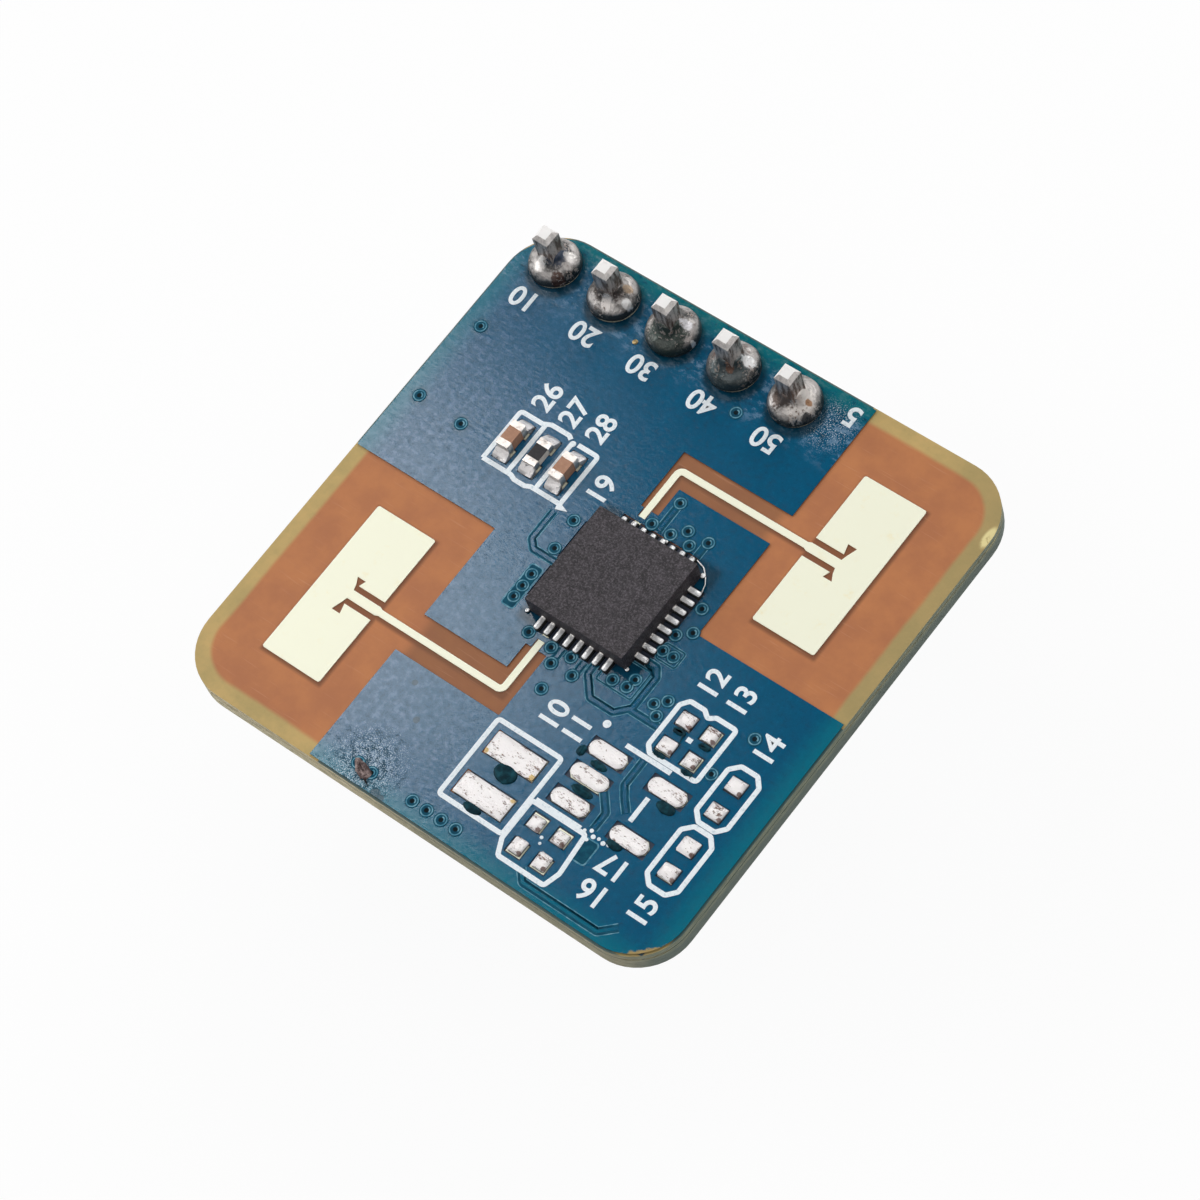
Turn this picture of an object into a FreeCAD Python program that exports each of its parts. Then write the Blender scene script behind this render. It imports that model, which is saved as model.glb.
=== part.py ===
import FreeCAD, Part
import os
import Sketcher

# Microwave radar sensor module: a square board with two patch antennas and a radar chip on
# its front face, a five-pin header soldered through one edge, and a controller behind.
#
# Frame: the origin is on the axis of the middle pin, at the underside of the header's
# insulator. X runs along the pin row, Y towards the edge that holds the header, and Z out
# of the antenna face. Layout places are measured from the middle of the board.

SIZES = {
    # Board and its layers
    "board_length": 20.0,
    "board_width": 20.0,
    "corner_radius": 2.0,
    "mask_thickness": 0.02,
    "copper_thickness": 0.035,
    "lower_laminate_thickness": 0.605,
    "upper_laminate_thickness": 0.25,
    "mask_edge_gap": 0.07,
    "copper_edge_gap": 0.35,
    "inner_plane_edge_gap": 0.52,
    "mask_opening_gap": 0.05,
    "copper_clearance": 0.12,
    # Header
    "pin_pitch": 2.54,
    "pin_width": 0.64,
    "pin_tip_chamfer": 0.14,
    "pin_reach_below": 6.0,
    "pin_reach_above": 2.0,
    "insulator_width": 2.54,
    "insulator_height": 2.54,
    "insulator_notch": 0.55,
    "header_row_gap": 1.27,
    "header_side_gap": 1.52,
    "hole_clearance": 0.0275,
    "plating_thickness": 0.02,
    "header_land_ring": 0.36,
    "inner_plane_hole_gap": 0.05,
    "solder_height": 1.2,
    "solder_neck_gap": 0.03,
    "solder_shoulder_height": 0.5,
    "solder_shoulder_step": 0.06,
    # Antennas
    "patch_width": 2.47,
    "patch_length": 6.12,
    "patch_rounding": 0.08,
    "antenna_side_gap": 2.33,
    "antenna_end_gap": 2.2,
    "feed_width": 0.24,
    "feed_bend_radius": 0.3,
    "feed_bend_inner_radius": 0.084,
    "inset_line_width": 0.34,
    "inset_depth": 1.18,
    "inset_taper": 0.12,
    "slot_width": 0.21,
    "hook_neck": 0.12,
    "hook_lean": 0.02,
    "hook_width": 0.36,
    "long_hook": 0.58,
    "short_hook": 0.46,
    # Bare windows in the mask round the antennas and their feed lines
    "transmit_zone_margin": 1.12,
    "receive_zone_margin": 1.4,
    "zone_end_margin": 1.42,
    "transmit_corridor": 1.2,
    "receive_corridor": 1.5,
    "transmit_riser_outer": 0.29,
    "transmit_riser_inner": 0.43,
    "receive_riser_outer": 0.49,
    "receive_riser_inner": 0.38,
    "neck_half_width": 0.16,
    "neck_length": 0.35,
    "neck_chip_gap": 0.65,
    # Radar chip and controller
    "chip_x": 0.925,
    "chip_size": 4.0,
    "chip_height": 0.83,
    "lead_pitch": 0.4,
    "lead_width": 0.2,
    "lead_length": 0.4,
    "lead_thickness": 0.2,
    "land_margin": 0.02,
    "land_overhang": 0.42,
    "land_inner_reach": 0.35,
    "solder_gap": 0.04,
    "lead_solder_height": 0.2,
    "solder_edge_height": 0.03,
    "ground_pad_gap": 0.3,
    "ground_pad_opening_gap": 0.1,
    "controller_x": -1.4,
    "controller_y": -1.2,
    "controller_size": 3.0,
    "controller_height": 0.55,
    # Small two-terminal parts and their lands
    "small_land_side_margin": 0.03,
    "small_land_width": 0.52,
    "small_land_step": 0.04,
    "part_length": 1.0,
    "part_width": 0.5,
    "capacitor_height": 0.5,
    "resistor_height": 0.33,
    "terminal_band": 0.24,
    "terminal_skin": 0.015,
    "resistor_coat_thickness": 0.02,
    "part_solder_height": 0.22,
    "front_row_side_gap": 5.65,
    "front_row_end_gap": 7.38,
    "front_row_pitch": 1.11,
    # Reference crystal on the back
    "crystal_x": 3.2,
    "crystal_y": -0.9,
    "crystal_length": 2.5,
    "crystal_width": 2.0,
    "crystal_base_height": 0.35,
    "crystal_lid_height": 0.2,
    "crystal_lid_inset": 0.12,
    "crystal_lid_rounding": 0.1,
    "crystal_land_length": 0.9,
    "crystal_land_width": 0.8,
    "back_row_x": 0.2,
    "back_row_end_gap": 5.0,
    "back_row_pitch": 1.4,
    # Lands of parts that are left out of this build, each with a coat of solder
    "spare_solder_height": 0.05,
    "spare_solder_inset": 0.02,
    "spare_solder_chamfer": 0.03,
    "coil_side_step": 3.67,
    "coil_end_gap": 2.85,
    "coil_land_length": 1.98,
    "coil_land_width": 0.83,
    "coil_land_pitch": 1.63,
    "regulator_side_step": 2.93,
    "regulator_end_gap": 4.365,
    "regulator_land_length": 1.42,
    "regulator_land_width": 0.57,
    "regulator_land_corner": 0.17,
    "regulator_column_pitch": 2.4,
    "regulator_row_pitch": 0.985,
    "spare_pair_pitch": 0.98,
    "upper_quad_side_step": 2.23,
    "upper_quad_end_gap": 7.12,
    "lower_quad_side_step": 1.15,
    "lower_quad_end_gap": 1.73,
    "edge_column_gap": 1.61,
    "edge_pair_end_gap": 3.7,
    "edge_pair_pitch": 2.45,
}

PIN_COUNT = 5
CHIP_LEADS_PER_SIDE = 8
CONTROLLER_LEADS_PER_SIDE = 5
CHIP_SIDES = 4
FRONT_CELLS = 3
BACK_CAPACITORS = 3
FEED_LEAD_STEPS = 2.5

# Places and levels worked out from the sizes
MIDDLE_PIN_STEPS = (PIN_COUNT - 1) / 2
BOARD_X = f"(sizes.board_length / 2 - sizes.header_side_gap - {MIDDLE_PIN_STEPS} * sizes.pin_pitch)"
BOARD_Y = "(sizes.header_row_gap - sizes.board_width / 2)"
HEADER_ROW_Y = "(sizes.board_width / 2 - sizes.header_row_gap)"
FIRST_PIN_X = "(sizes.header_side_gap - sizes.board_length / 2)"
BACK_MASK = "sizes.insulator_height"
BACK_COPPER = f"({BACK_MASK} + sizes.mask_thickness)"
LOWER_LAMINATE = f"({BACK_COPPER} + sizes.copper_thickness)"
INNER_PLANE = f"({LOWER_LAMINATE} + sizes.lower_laminate_thickness)"
UPPER_LAMINATE = f"({INNER_PLANE} + sizes.copper_thickness)"
FRONT_COPPER = f"({UPPER_LAMINATE} + sizes.upper_laminate_thickness)"
FRONT_MASK = f"({FRONT_COPPER} + sizes.copper_thickness)"
FRONT_FACE = f"({FRONT_MASK} + sizes.mask_thickness)"
BOARD_THICKNESS = f"({FRONT_FACE} - {BACK_MASK})"
FEED_X = f"(sizes.chip_x - {FEED_LEAD_STEPS} * sizes.lead_pitch)"
FEED_START = "(sizes.chip_size / 2 + sizes.land_overhang)"
PATCH_X = "(sizes.board_length / 2 - sizes.antenna_side_gap - sizes.patch_width / 2)"
PATCH_Y = "(sizes.board_width / 2 - sizes.antenna_end_gap - sizes.patch_length / 2)"
PATCH_OFFSET = f"({PATCH_X} - {FEED_X})"
LAND_WIDTH = "(sizes.lead_width + 2 * sizes.land_margin)"
SMALL_LAND_LENGTH = "(sizes.part_width + 2 * sizes.small_land_side_margin)"
SMALL_LAND_PITCH = "(sizes.part_length + sizes.small_land_step)"
PIN_CORNER = "(sizes.pin_width * sqrt(0.5))"
BARREL_BORE = f"({PIN_CORNER} + sizes.hole_clearance)"
HOLE_RADIUS = f"({BARREL_BORE} + sizes.plating_thickness)"
HEADER_LAND = f"({HOLE_RADIUS} + sizes.header_land_ring)"
FRONT_ROW_X = "(sizes.front_row_side_gap - sizes.board_length / 2)"
FRONT_ROW_Y = "(sizes.board_width / 2 - sizes.front_row_end_gap)"
BACK_ROW_Y = "(sizes.back_row_end_gap - sizes.board_width / 2)"
EDGE_COLUMN_X = "(sizes.board_length / 2 - sizes.edge_column_gap)"
EDGE_PAIR_Y = "(sizes.edge_pair_end_gap - sizes.board_width / 2)"
REGULATOR_X = f"({EDGE_COLUMN_X} - sizes.regulator_side_step)"
REGULATOR_Y = "(sizes.regulator_end_gap - sizes.board_width / 2)"
COIL_X = f"({REGULATOR_X} - sizes.coil_side_step)"
COIL_Y = "(sizes.coil_end_gap - sizes.board_width / 2)"
UPPER_QUAD_X = f"({EDGE_COLUMN_X} - sizes.upper_quad_side_step)"
UPPER_QUAD_Y = "(sizes.upper_quad_end_gap - sizes.board_width / 2)"
LOWER_QUAD_X = f"({REGULATOR_X} - sizes.lower_quad_side_step)"
LOWER_QUAD_Y = "(sizes.lower_quad_end_gap - sizes.board_width / 2)"

doc = FreeCAD.newDocument("microwave_radar_sensor")
sheet = doc.addObject("Spreadsheet::Sheet", "sizes")
nodes = []


def fill_sheet():
    """Write every driving size into the sheet, with its name as the alias."""
    for row, (alias, value) in enumerate(SIZES.items(), start=1):
        sheet.set(f"A{row}", alias.replace("_", " "))
        sheet.set(f"B{row}", str(value))
        sheet.setAlias(f"B{row}", alias)
    doc.recompute()


def number(expression):
    """Present value of a sheet expression."""
    return float(sheet.evalExpression(expression))


def keep(solid):
    """Count an object as a finished piece of the module."""
    nodes.append(solid)
    return solid


def new_body(label):
    body = doc.addObject("PartDesign::Body", label)
    body.Label = label
    body.AllowCompound = True
    return body


def origin_part(body, role):
    """Plane or axis of the body's own origin."""
    return next(item for item in body.Origin.OriginFeatures if item.Role == role)


def new_sketch(body, role="XY_Plane", x="0", y="0", z="0"):
    """Sketch on one of the body's planes, moved by x and y in the plane and z along its normal."""
    sketch = body.newObject("Sketcher::SketchObject", body.Label + "_profile")
    sketch.AttachmentSupport = [(origin_part(body, role), "")]
    sketch.MapMode = "FlatFace"
    sketch.setExpression("AttachmentOffset.Base.x", x)
    sketch.setExpression("AttachmentOffset.Base.y", y)
    sketch.setExpression("AttachmentOffset.Base.z", z)
    return sketch


def point_rules(geometry, end, x, y):
    """Rules that hold one end of a sketch element, each with the expression that drives it."""
    return [
        (Sketcher.Constraint("DistanceX", -1, 1, geometry, end, number(x)), x),
        (Sketcher.Constraint("DistanceY", -1, 1, geometry, end, number(y)), y),
    ]


def add_rules(sketch, rules):
    """Add rules in one go, then tie each one that has an expression to the sheet."""
    indices = sketch.addConstraint([rule for rule, _ in rules])
    for index, (_, expression) in zip(indices, rules):
        if expression is not None:
            sketch.setExpression(f"Constraints[{index}]", expression)


def draw_outlines(sketch, outlines):
    """Closed outlines of straight runs, each through corners given as pairs of expressions."""
    runs = []
    rules = []
    for corners in outlines:
        points = [FreeCAD.Vector(number(x), number(y), 0) for x, y in corners]
        first = sketch.GeometryCount + len(runs)
        for index, (x, y) in enumerate(corners):
            following = (index + 1) % len(points)
            runs.append(Part.LineSegment(points[index], points[following]))
            joint = Sketcher.Constraint("Coincident", first + index, 2, first + following, 1)
            rules.append((joint, None))
            rules += point_rules(first + index, 1, x, y)
    sketch.addGeometry(runs, False)
    add_rules(sketch, rules)


def draw_outline(sketch, corners):
    """One closed outline of straight runs."""
    draw_outlines(sketch, [corners])


def rectangle(x, y, length, width):
    """Corners of a rectangle about x, y: length along the sketch's X, width along its Y."""
    left = f"({x} - ({length}) / 2)"
    right = f"({x} + ({length}) / 2)"
    low = f"({y} - ({width}) / 2)"
    high = f"({y} + ({width}) / 2)"
    return [(left, low), (right, low), (right, high), (left, high)]


def draw_rectangle(sketch, x, y, length, width):
    """One rectangle about the middle x, y."""
    draw_outline(sketch, rectangle(x, y, length, width))


def draw_circle(sketch, x, y, radius):
    centre = FreeCAD.Vector(number(x), number(y), 0)
    circle = Part.Circle(centre, FreeCAD.Vector(0, 0, 1), number(radius))
    geometry = sketch.addGeometry(circle, False)
    size = (Sketcher.Constraint("Radius", geometry, number(radius)), radius)
    add_rules(sketch, point_rules(geometry, 3, x, y) + [size])


def extrude(body, sketch, length):
    feature = body.newObject("PartDesign::Pad", body.Label + "_pad")
    feature.Profile = sketch
    feature.setExpression("Length", length)
    doc.recompute()
    return feature


def cut_through(body, sketch, towards_normal=False):
    """Cut the sketch right through the body, and make sure that it did cut."""
    volume = body.Shape.Volume
    feature = body.newObject("PartDesign::Pocket", body.Label + "_cut")
    feature.Profile = sketch
    feature.Type = "ThroughAll"
    feature.Reversed = towards_normal
    doc.recompute()
    if not feature.Shape.Volume < volume:
        raise RuntimeError(f"{feature.Name} cuts nothing")
    return feature


def fillet(body, feature, edges, radius):
    """Round the named edges of the feature."""
    rounding = body.newObject("PartDesign::Fillet", body.Label + "_rounding")
    rounding.Base = (feature, edges)
    rounding.setExpression("Radius", radius)
    doc.recompute()
    return rounding


def chamfer(body, feature, edges, size):
    """Cut the named edges of the feature at 45 degrees."""
    cut = body.newObject("PartDesign::Chamfer", body.Label + "_chamfer")
    cut.Base = (feature, edges)
    cut.setExpression("Size", size)
    doc.recompute()
    return cut


def upright_edges(feature, near=None):
    """Names of the edges along Z: all of them, or the nearest one to each point in near."""
    found = []
    for index, edge in enumerate(feature.Shape.Edges, start=1):
        low, high = edge.Vertexes[0].Point, edge.Vertexes[-1].Point
        if abs(low.z - high.z) > 1e-6 and (low.x - high.x) ** 2 + (low.y - high.y) ** 2 < 1e-12:
            found.append((index, low))
    if near is None:
        return [f"Edge{index}" for index, _ in found]
    chosen = []
    for x, y in near:
        place = FreeCAD.Vector(number(x), number(y), 0)
        nearest = min(found, key=lambda item: (item[1].x - place.x) ** 2 + (item[1].y - place.y) ** 2)
        chosen.append(f"Edge{nearest[0]}")
    return chosen


def level_edges(feature, height):
    """Names of the edges that lie at one height."""
    names = []
    for index, edge in enumerate(feature.Shape.Edges, start=1):
        if all(abs(vertex.Z - height) < 1e-6 for vertex in edge.Vertexes):
            names.append(f"Edge{index}")
    return names


def repeat_along(body, feature, axis, count, pitch):
    """Row of copies of a feature along an axis."""
    pattern = body.newObject("PartDesign::LinearPattern", body.Label + "_row")
    pattern.Originals = [feature]
    pattern.Direction = axis
    pattern.setExpression("Length", f"{count - 1} * {pitch}")
    pattern.Occurrences = count
    body.Tip = pattern
    doc.recompute()
    return pattern


def repeat_round_chip(body, feature, row_axis, turn_axis, count):
    """Row of copies of a feature on each of the four sides of a chip."""
    ring = body.newObject("PartDesign::MultiTransform", body.Label + "_ring")
    ring.Originals = [feature]
    row = body.newObject("PartDesign::LinearPattern", body.Label + "_side")
    row.Direction = row_axis
    row.setExpression("Length", f"{count - 1} * sizes.lead_pitch")
    row.Occurrences = count
    turn = body.newObject("PartDesign::PolarPattern", body.Label + "_turn")
    turn.Axis = turn_axis
    turn.Angle = 360
    turn.Occurrences = CHIP_SIDES
    ring.Transformations = [row, turn]
    body.Tip = ring
    doc.recompute()
    return ring


def place(solid, x, y, z, turn=None):
    """Put a solid at x, y, z in the module's frame, turned first where turn says so."""
    if turn is not None:
        solid.Placement = FreeCAD.Placement(FreeCAD.Vector(), turn)
    solid.setExpression("Placement.Base.x", x)
    solid.setExpression("Placement.Base.y", y)
    solid.setExpression("Placement.Base.z", z)
    return solid


def place_on_board(solid, x, y, z, turn=None):
    """Put a solid at a layout place, measured from the middle of the board."""
    return place(solid, f"{BOARD_X} + {x}", f"{BOARD_Y} + {y}", z, turn)


def mount(solid, x, y, behind):
    """Seat a part on the outer face of the front copper, or of the back copper upside down."""
    if behind:
        over = FreeCAD.Rotation(FreeCAD.Vector(1, 0, 0), 180)
        return place_on_board(solid, x, y, BACK_COPPER, over)
    return place_on_board(solid, x, y, FRONT_MASK)


def subtract(label, base, tools):
    """Base solid less the pieces that seat inside it."""
    if len(tools) > 1:
        tool = doc.addObject("Part::Compound", label + "_tools")
        tool.Links = tools
    else:
        tool = tools[0]
    cut = doc.addObject("Part::Cut", label)
    cut.Label = label
    cut.Base = base
    cut.Tool = tool
    doc.recompute()
    return cut


# Lands: each is its middle x and y, its length along X and its width along Y


def small_pair(x, y):
    """Two lands in line along Y for one small part."""
    step = f"{SMALL_LAND_PITCH} / 2"
    size = (SMALL_LAND_LENGTH, "sizes.small_land_width")
    return [(x, f"({y} - {step})", *size), (x, f"({y} + {step})", *size)]


def two_pairs(x, y):
    """Two small pairs side by side."""
    step = "sizes.spare_pair_pitch / 2"
    return small_pair(f"({x} - {step})", y) + small_pair(f"({x} + {step})", y)


def front_cell_x(cell):
    """Middle of one of the cells for small parts beside the radar chip."""
    return f"({FRONT_ROW_X} + {cell - 1} * sizes.front_row_pitch)"


def back_cell_x(cell):
    """Middle of one of the places for small parts behind the board."""
    return f"(sizes.back_row_x + {cell} * sizes.back_row_pitch)"


def front_part_lands():
    lands = []
    for cell in range(FRONT_CELLS):
        lands += small_pair(front_cell_x(cell), FRONT_ROW_Y)
    return lands


def crystal_lands(x, y):
    """Lands under the four corners of the crystal."""
    reach_x = "(sizes.crystal_length - sizes.crystal_land_length) / 2"
    reach_y = "(sizes.crystal_width - sizes.crystal_land_width) / 2"
    size = ("sizes.crystal_land_length", "sizes.crystal_land_width")
    lands = []
    for side_x in "+-":
        for side_y in "+-":
            lands.append((f"({x} {side_x} {reach_x})", f"({y} {side_y} {reach_y})", *size))
    return lands


def back_part_lands():
    """Lands of the row of small parts and of the crystal."""
    lands = []
    for cell in range(BACK_CAPACITORS + 1):
        lands += small_pair(back_cell_x(cell), BACK_ROW_Y)
    return lands + crystal_lands("sizes.crystal_x", "sizes.crystal_y")


def coil_lands():
    step = "sizes.coil_land_pitch / 2"
    size = ("sizes.coil_land_length", "sizes.coil_land_width")
    return [(COIL_X, f"({COIL_Y} {side} {step})", *size) for side in "+-"]


def regulator_lands():
    """Three lands in the left column and two in the right one."""
    size = ("sizes.regulator_land_length", "sizes.regulator_land_width")
    lands = []
    for side, rows in (("-", (-1, 0, 1)), ("+", (-1, 1))):
        x = f"({REGULATOR_X} {side} sizes.regulator_column_pitch / 2)"
        for row in rows:
            lands.append((x, f"({REGULATOR_Y} + {row} * sizes.regulator_row_pitch)", *size))
    return lands


def spare_small_lands():
    """Small pairs of the parts that are left out."""
    lands = two_pairs(UPPER_QUAD_X, UPPER_QUAD_Y)
    lands += two_pairs(LOWER_QUAD_X, LOWER_QUAD_Y)
    lands += small_pair(EDGE_COLUMN_X, EDGE_PAIR_Y)
    lands += small_pair(EDGE_COLUMN_X, f"({EDGE_PAIR_Y} + sizes.edge_pair_pitch)")
    return lands


def spare_lands():
    return coil_lands() + regulator_lands() + spare_small_lands()


def grown(land, gap):
    """The same land, larger by a gap all round."""
    x, y, length, width = land
    return x, y, f"({length} + 2 * {gap})", f"({width} + 2 * {gap})"


def lead_strips(x, y, size, count):
    """Strips over the leads of a chip: the two along X, then the two along Y."""
    reach = f"({size} / 2 + (sizes.land_overhang - sizes.land_inner_reach) / 2)"
    depth = "(sizes.land_overhang + sizes.land_inner_reach)"
    run = f"({count - 1} * sizes.lead_pitch + {LAND_WIDTH})"
    along_x = [(x, f"({y} {side} {reach})", run, depth) for side in "+-"]
    along_y = [(f"({x} {side} {reach})", y, depth, run) for side in "+-"]
    return along_x, along_y


# Board layers


def sheet_outline(edge, gap, neck_end):
    """Corners of a front layer: the board less the antennas' bare windows.

    edge is the inset from the board's edge, gap how much the windows grow, and neck_end
    how far from the chip's middle the narrow end of each window stops.
    """
    right = f"(sizes.board_length / 2 - {edge})"
    top = f"(sizes.board_width / 2 - {edge})"
    inner_right = f"({PATCH_X} - sizes.patch_width / 2 - sizes.transmit_zone_margin - {gap})"
    inner_left = (f"(2 * {FEED_X} - {PATCH_X} + sizes.patch_width / 2"
                  f" + sizes.receive_zone_margin + {gap})")
    window_end = f"({PATCH_Y} - sizes.patch_length / 2 - sizes.zone_end_margin - {gap})"
    send_half = f"(sizes.transmit_corridor / 2 + {gap})"
    hear_half = f"(sizes.receive_corridor / 2 + {gap})"
    neck_start = "(sizes.chip_size / 2 + sizes.neck_chip_gap + sizes.neck_length)"
    neck_left = f"({FEED_X} - sizes.neck_half_width - {gap})"
    neck_right = f"({FEED_X} + sizes.neck_half_width + {gap})"
    send_outer = f"({FEED_X} - sizes.transmit_riser_outer - {gap})"
    send_inner = f"({FEED_X} + sizes.transmit_riser_inner + {gap})"
    hear_outer = f"({FEED_X} + sizes.receive_riser_outer + {gap})"
    hear_inner = f"({FEED_X} - sizes.receive_riser_inner - {gap})"
    transmit_side = [
        (f"-{right}", top),
        (inner_right, top),
        (inner_right, f"({PATCH_Y} + {send_half})"),
        (send_outer, f"({PATCH_Y} + {send_half})"),
        (send_outer, neck_start),
        (neck_left, neck_start),
        (neck_left, neck_end),
        (neck_right, neck_end),
        (neck_right, neck_start),
        (send_inner, neck_start),
        (send_inner, f"({PATCH_Y} - {send_half})"),
        (inner_right, f"({PATCH_Y} - {send_half})"),
        (inner_right, window_end),
        (right, window_end),
    ]
    receive_side = [
        (right, f"-{top}"),
        (inner_left, f"-{top}"),
        (inner_left, f"-({PATCH_Y} + {hear_half})"),
        (hear_outer, f"-({PATCH_Y} + {hear_half})"),
        (hear_outer, f"-{neck_start}"),
        (neck_right, f"-{neck_start}"),
        (neck_right, f"-{neck_end}"),
        (neck_left, f"-{neck_end}"),
        (neck_left, f"-{neck_start}"),
        (hear_inner, f"-{neck_start}"),
        (hear_inner, f"-({PATCH_Y} - {hear_half})"),
        (inner_left, f"-({PATCH_Y} - {hear_half})"),
        (inner_left, f"-{window_end}"),
        (f"-{right}", f"-{window_end}"),
    ]
    return transmit_side + receive_side


def cut_header_holes(body, radius, z):
    """Row of round holes for the header's pins."""
    sketch = new_sketch(body, z=z)
    draw_circle(sketch, FIRST_PIN_X, HEADER_ROW_Y, radius)
    hole = cut_through(body, sketch)
    repeat_along(body, hole, (sketch, ["H_Axis"]), PIN_COUNT, "sizes.pin_pitch")


def cut_header_clearances(body, half, z):
    """Row of square clearances for the header's pins."""
    sketch = new_sketch(body, z=z)
    side = f"(2 * {half})"
    draw_rectangle(sketch, FIRST_PIN_X, HEADER_ROW_Y, side, side)
    clearance = cut_through(body, sketch)
    repeat_along(body, clearance, (sketch, ["H_Axis"]), PIN_COUNT, "sizes.pin_pitch")


def cut_land_openings(body, lands, gap, z):
    """Openings over a list of lands."""
    sketch = new_sketch(body, z=z)
    draw_outlines(sketch, [rectangle(*grown(land, gap)) for land in lands])
    cut_through(body, sketch)


def plain_sheet(label, edge, thickness):
    """Sheet of the board's outline, smaller by an inset at the edge."""
    body = new_body(label)
    sketch = new_sketch(body)
    length = f"(sizes.board_length - 2 * {edge})"
    width = f"(sizes.board_width - 2 * {edge})"
    draw_rectangle(sketch, "0", "0", length, width)
    slab = extrude(body, sketch, thickness)
    fillet(body, slab, upright_edges(slab), f"(sizes.corner_radius - {edge})")
    return body


def laminate(label, thickness, level):
    """Glass-fibre sheet of the full outline, drilled for the header."""
    body = plain_sheet(label, "0", thickness)
    cut_header_holes(body, HOLE_RADIUS, thickness)
    return keep(place_on_board(body, "0", "0", level))


def inner_ground_plane():
    """Copper plane between the laminates, pulled back from the edge and the pins."""
    body = plain_sheet("inner_ground_plane", "sizes.inner_plane_edge_gap",
                       "sizes.copper_thickness")
    half = f"({HOLE_RADIUS} + sizes.inner_plane_hole_gap)"
    cut_header_clearances(body, half, "sizes.copper_thickness")
    return keep(place_on_board(body, "0", "0", INNER_PLANE))


def front_layer(label, edge, window_gap, neck_end, opening_gap, thickness):
    """Copper or mask on the antenna face, open at the antennas and at every land."""
    body = new_body(label)
    sketch = new_sketch(body)
    outline = sheet_outline(edge, window_gap, neck_end)
    draw_outline(sketch, outline)
    slab = extrude(body, sketch, thickness)
    board_corners = [corner for corner in outline if is_board_corner(corner)]
    fillet(body, slab, upright_edges(slab, board_corners), f"(sizes.corner_radius - {edge})")
    cut_land_openings(body, front_part_lands() + spare_lands(), opening_gap, thickness)
    for strips in lead_strips("sizes.chip_x", "0", "sizes.chip_size", CHIP_LEADS_PER_SIDE):
        cut_land_openings(body, strips, opening_gap, thickness)
    return body


def is_board_corner(corner):
    """Tell whether a corner of a front layer lies near a corner of the board."""
    x, y = corner
    near = number("sizes.corner_radius")
    return (abs(number(x)) > number("sizes.board_length / 2") - near
            and abs(number(y)) > number("sizes.board_width / 2") - near)


def front_ground_copper():
    gap = "sizes.copper_clearance"
    thickness = "sizes.copper_thickness"
    body = front_layer("front_ground_copper", "sizes.copper_edge_gap", gap, FEED_START, gap, thickness)
    cut_header_clearances(body, f"({HEADER_LAND} + {gap})", thickness)
    return keep(place_on_board(body, "0", "0", FRONT_COPPER))


def front_solder_mask():
    gap = "sizes.mask_opening_gap"
    thickness = "sizes.mask_thickness"
    neck_end = "(sizes.chip_size / 2 + sizes.neck_chip_gap)"
    body = front_layer("front_solder_mask", "sizes.mask_edge_gap", "0", neck_end, gap, thickness)
    cut_header_holes(body, f"({HEADER_LAND} + {gap})", thickness)
    pad = ground_pad_land("sizes.chip_x", "0", "sizes.chip_size")
    cut_land_openings(body, [pad], "sizes.ground_pad_opening_gap", thickness)
    return keep(place_on_board(body, "0", "0", FRONT_MASK))


def back_layer(label, edge, opening_gap, thickness):
    """Copper or mask behind the board, open at every land."""
    body = plain_sheet(label, edge, thickness)
    cut_land_openings(body, back_part_lands(), opening_gap, thickness)
    for strips in lead_strips("sizes.controller_x", "sizes.controller_y", "sizes.controller_size",
                              CONTROLLER_LEADS_PER_SIDE):
        cut_land_openings(body, strips, opening_gap, thickness)
    return body


def back_ground_copper():
    gap = "sizes.copper_clearance"
    thickness = "sizes.copper_thickness"
    body = back_layer("back_ground_copper", "sizes.copper_edge_gap", gap, thickness)
    cut_header_clearances(body, f"({HEADER_LAND} + {gap})", thickness)
    return keep(place_on_board(body, "0", "0", BACK_COPPER))


def back_solder_mask():
    gap = "sizes.mask_opening_gap"
    thickness = "sizes.mask_thickness"
    body = back_layer("back_solder_mask", "sizes.mask_edge_gap", gap, thickness)
    cut_header_holes(body, f"({HEADER_LAND} + {gap})", thickness)
    pad = ground_pad_land("sizes.controller_x", "sizes.controller_y", "sizes.controller_size")
    cut_land_openings(body, [pad], "sizes.ground_pad_opening_gap", thickness)
    return keep(place_on_board(body, "0", "0", BACK_MASK))


# Antennas


def hooked_slot(side, hook):
    """Corners of one slot beside the inset feed line, with the flared hook at its blind end.

    side is + for the slot above the line and - for the one below it.
    """
    mouth = f"({PATCH_OFFSET} - sizes.patch_width / 2)"
    end = f"({mouth} + sizes.inset_depth)"
    near = f"({PATCH_Y} {side} sizes.inset_line_width / 2)"
    far = f"({PATCH_Y} {side} (sizes.inset_line_width / 2 + sizes.slot_width))"
    tip = f"({PATCH_Y} {side} (sizes.inset_line_width / 2 + {hook}))"
    hook_middle = f"({end} + sizes.hook_lean)"
    return [
        (f"({mouth} - sizes.patch_rounding)", near),
        (end, near),
        (f"({end} + sizes.hook_neck / 2)", far),
        (f"({hook_middle} + sizes.hook_width / 2)", tip),
        (f"({hook_middle} - sizes.hook_width / 2)", tip),
        (f"({end} - sizes.hook_neck / 2)", far),
        (f"({mouth} - sizes.patch_rounding)", far),
    ]


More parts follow.
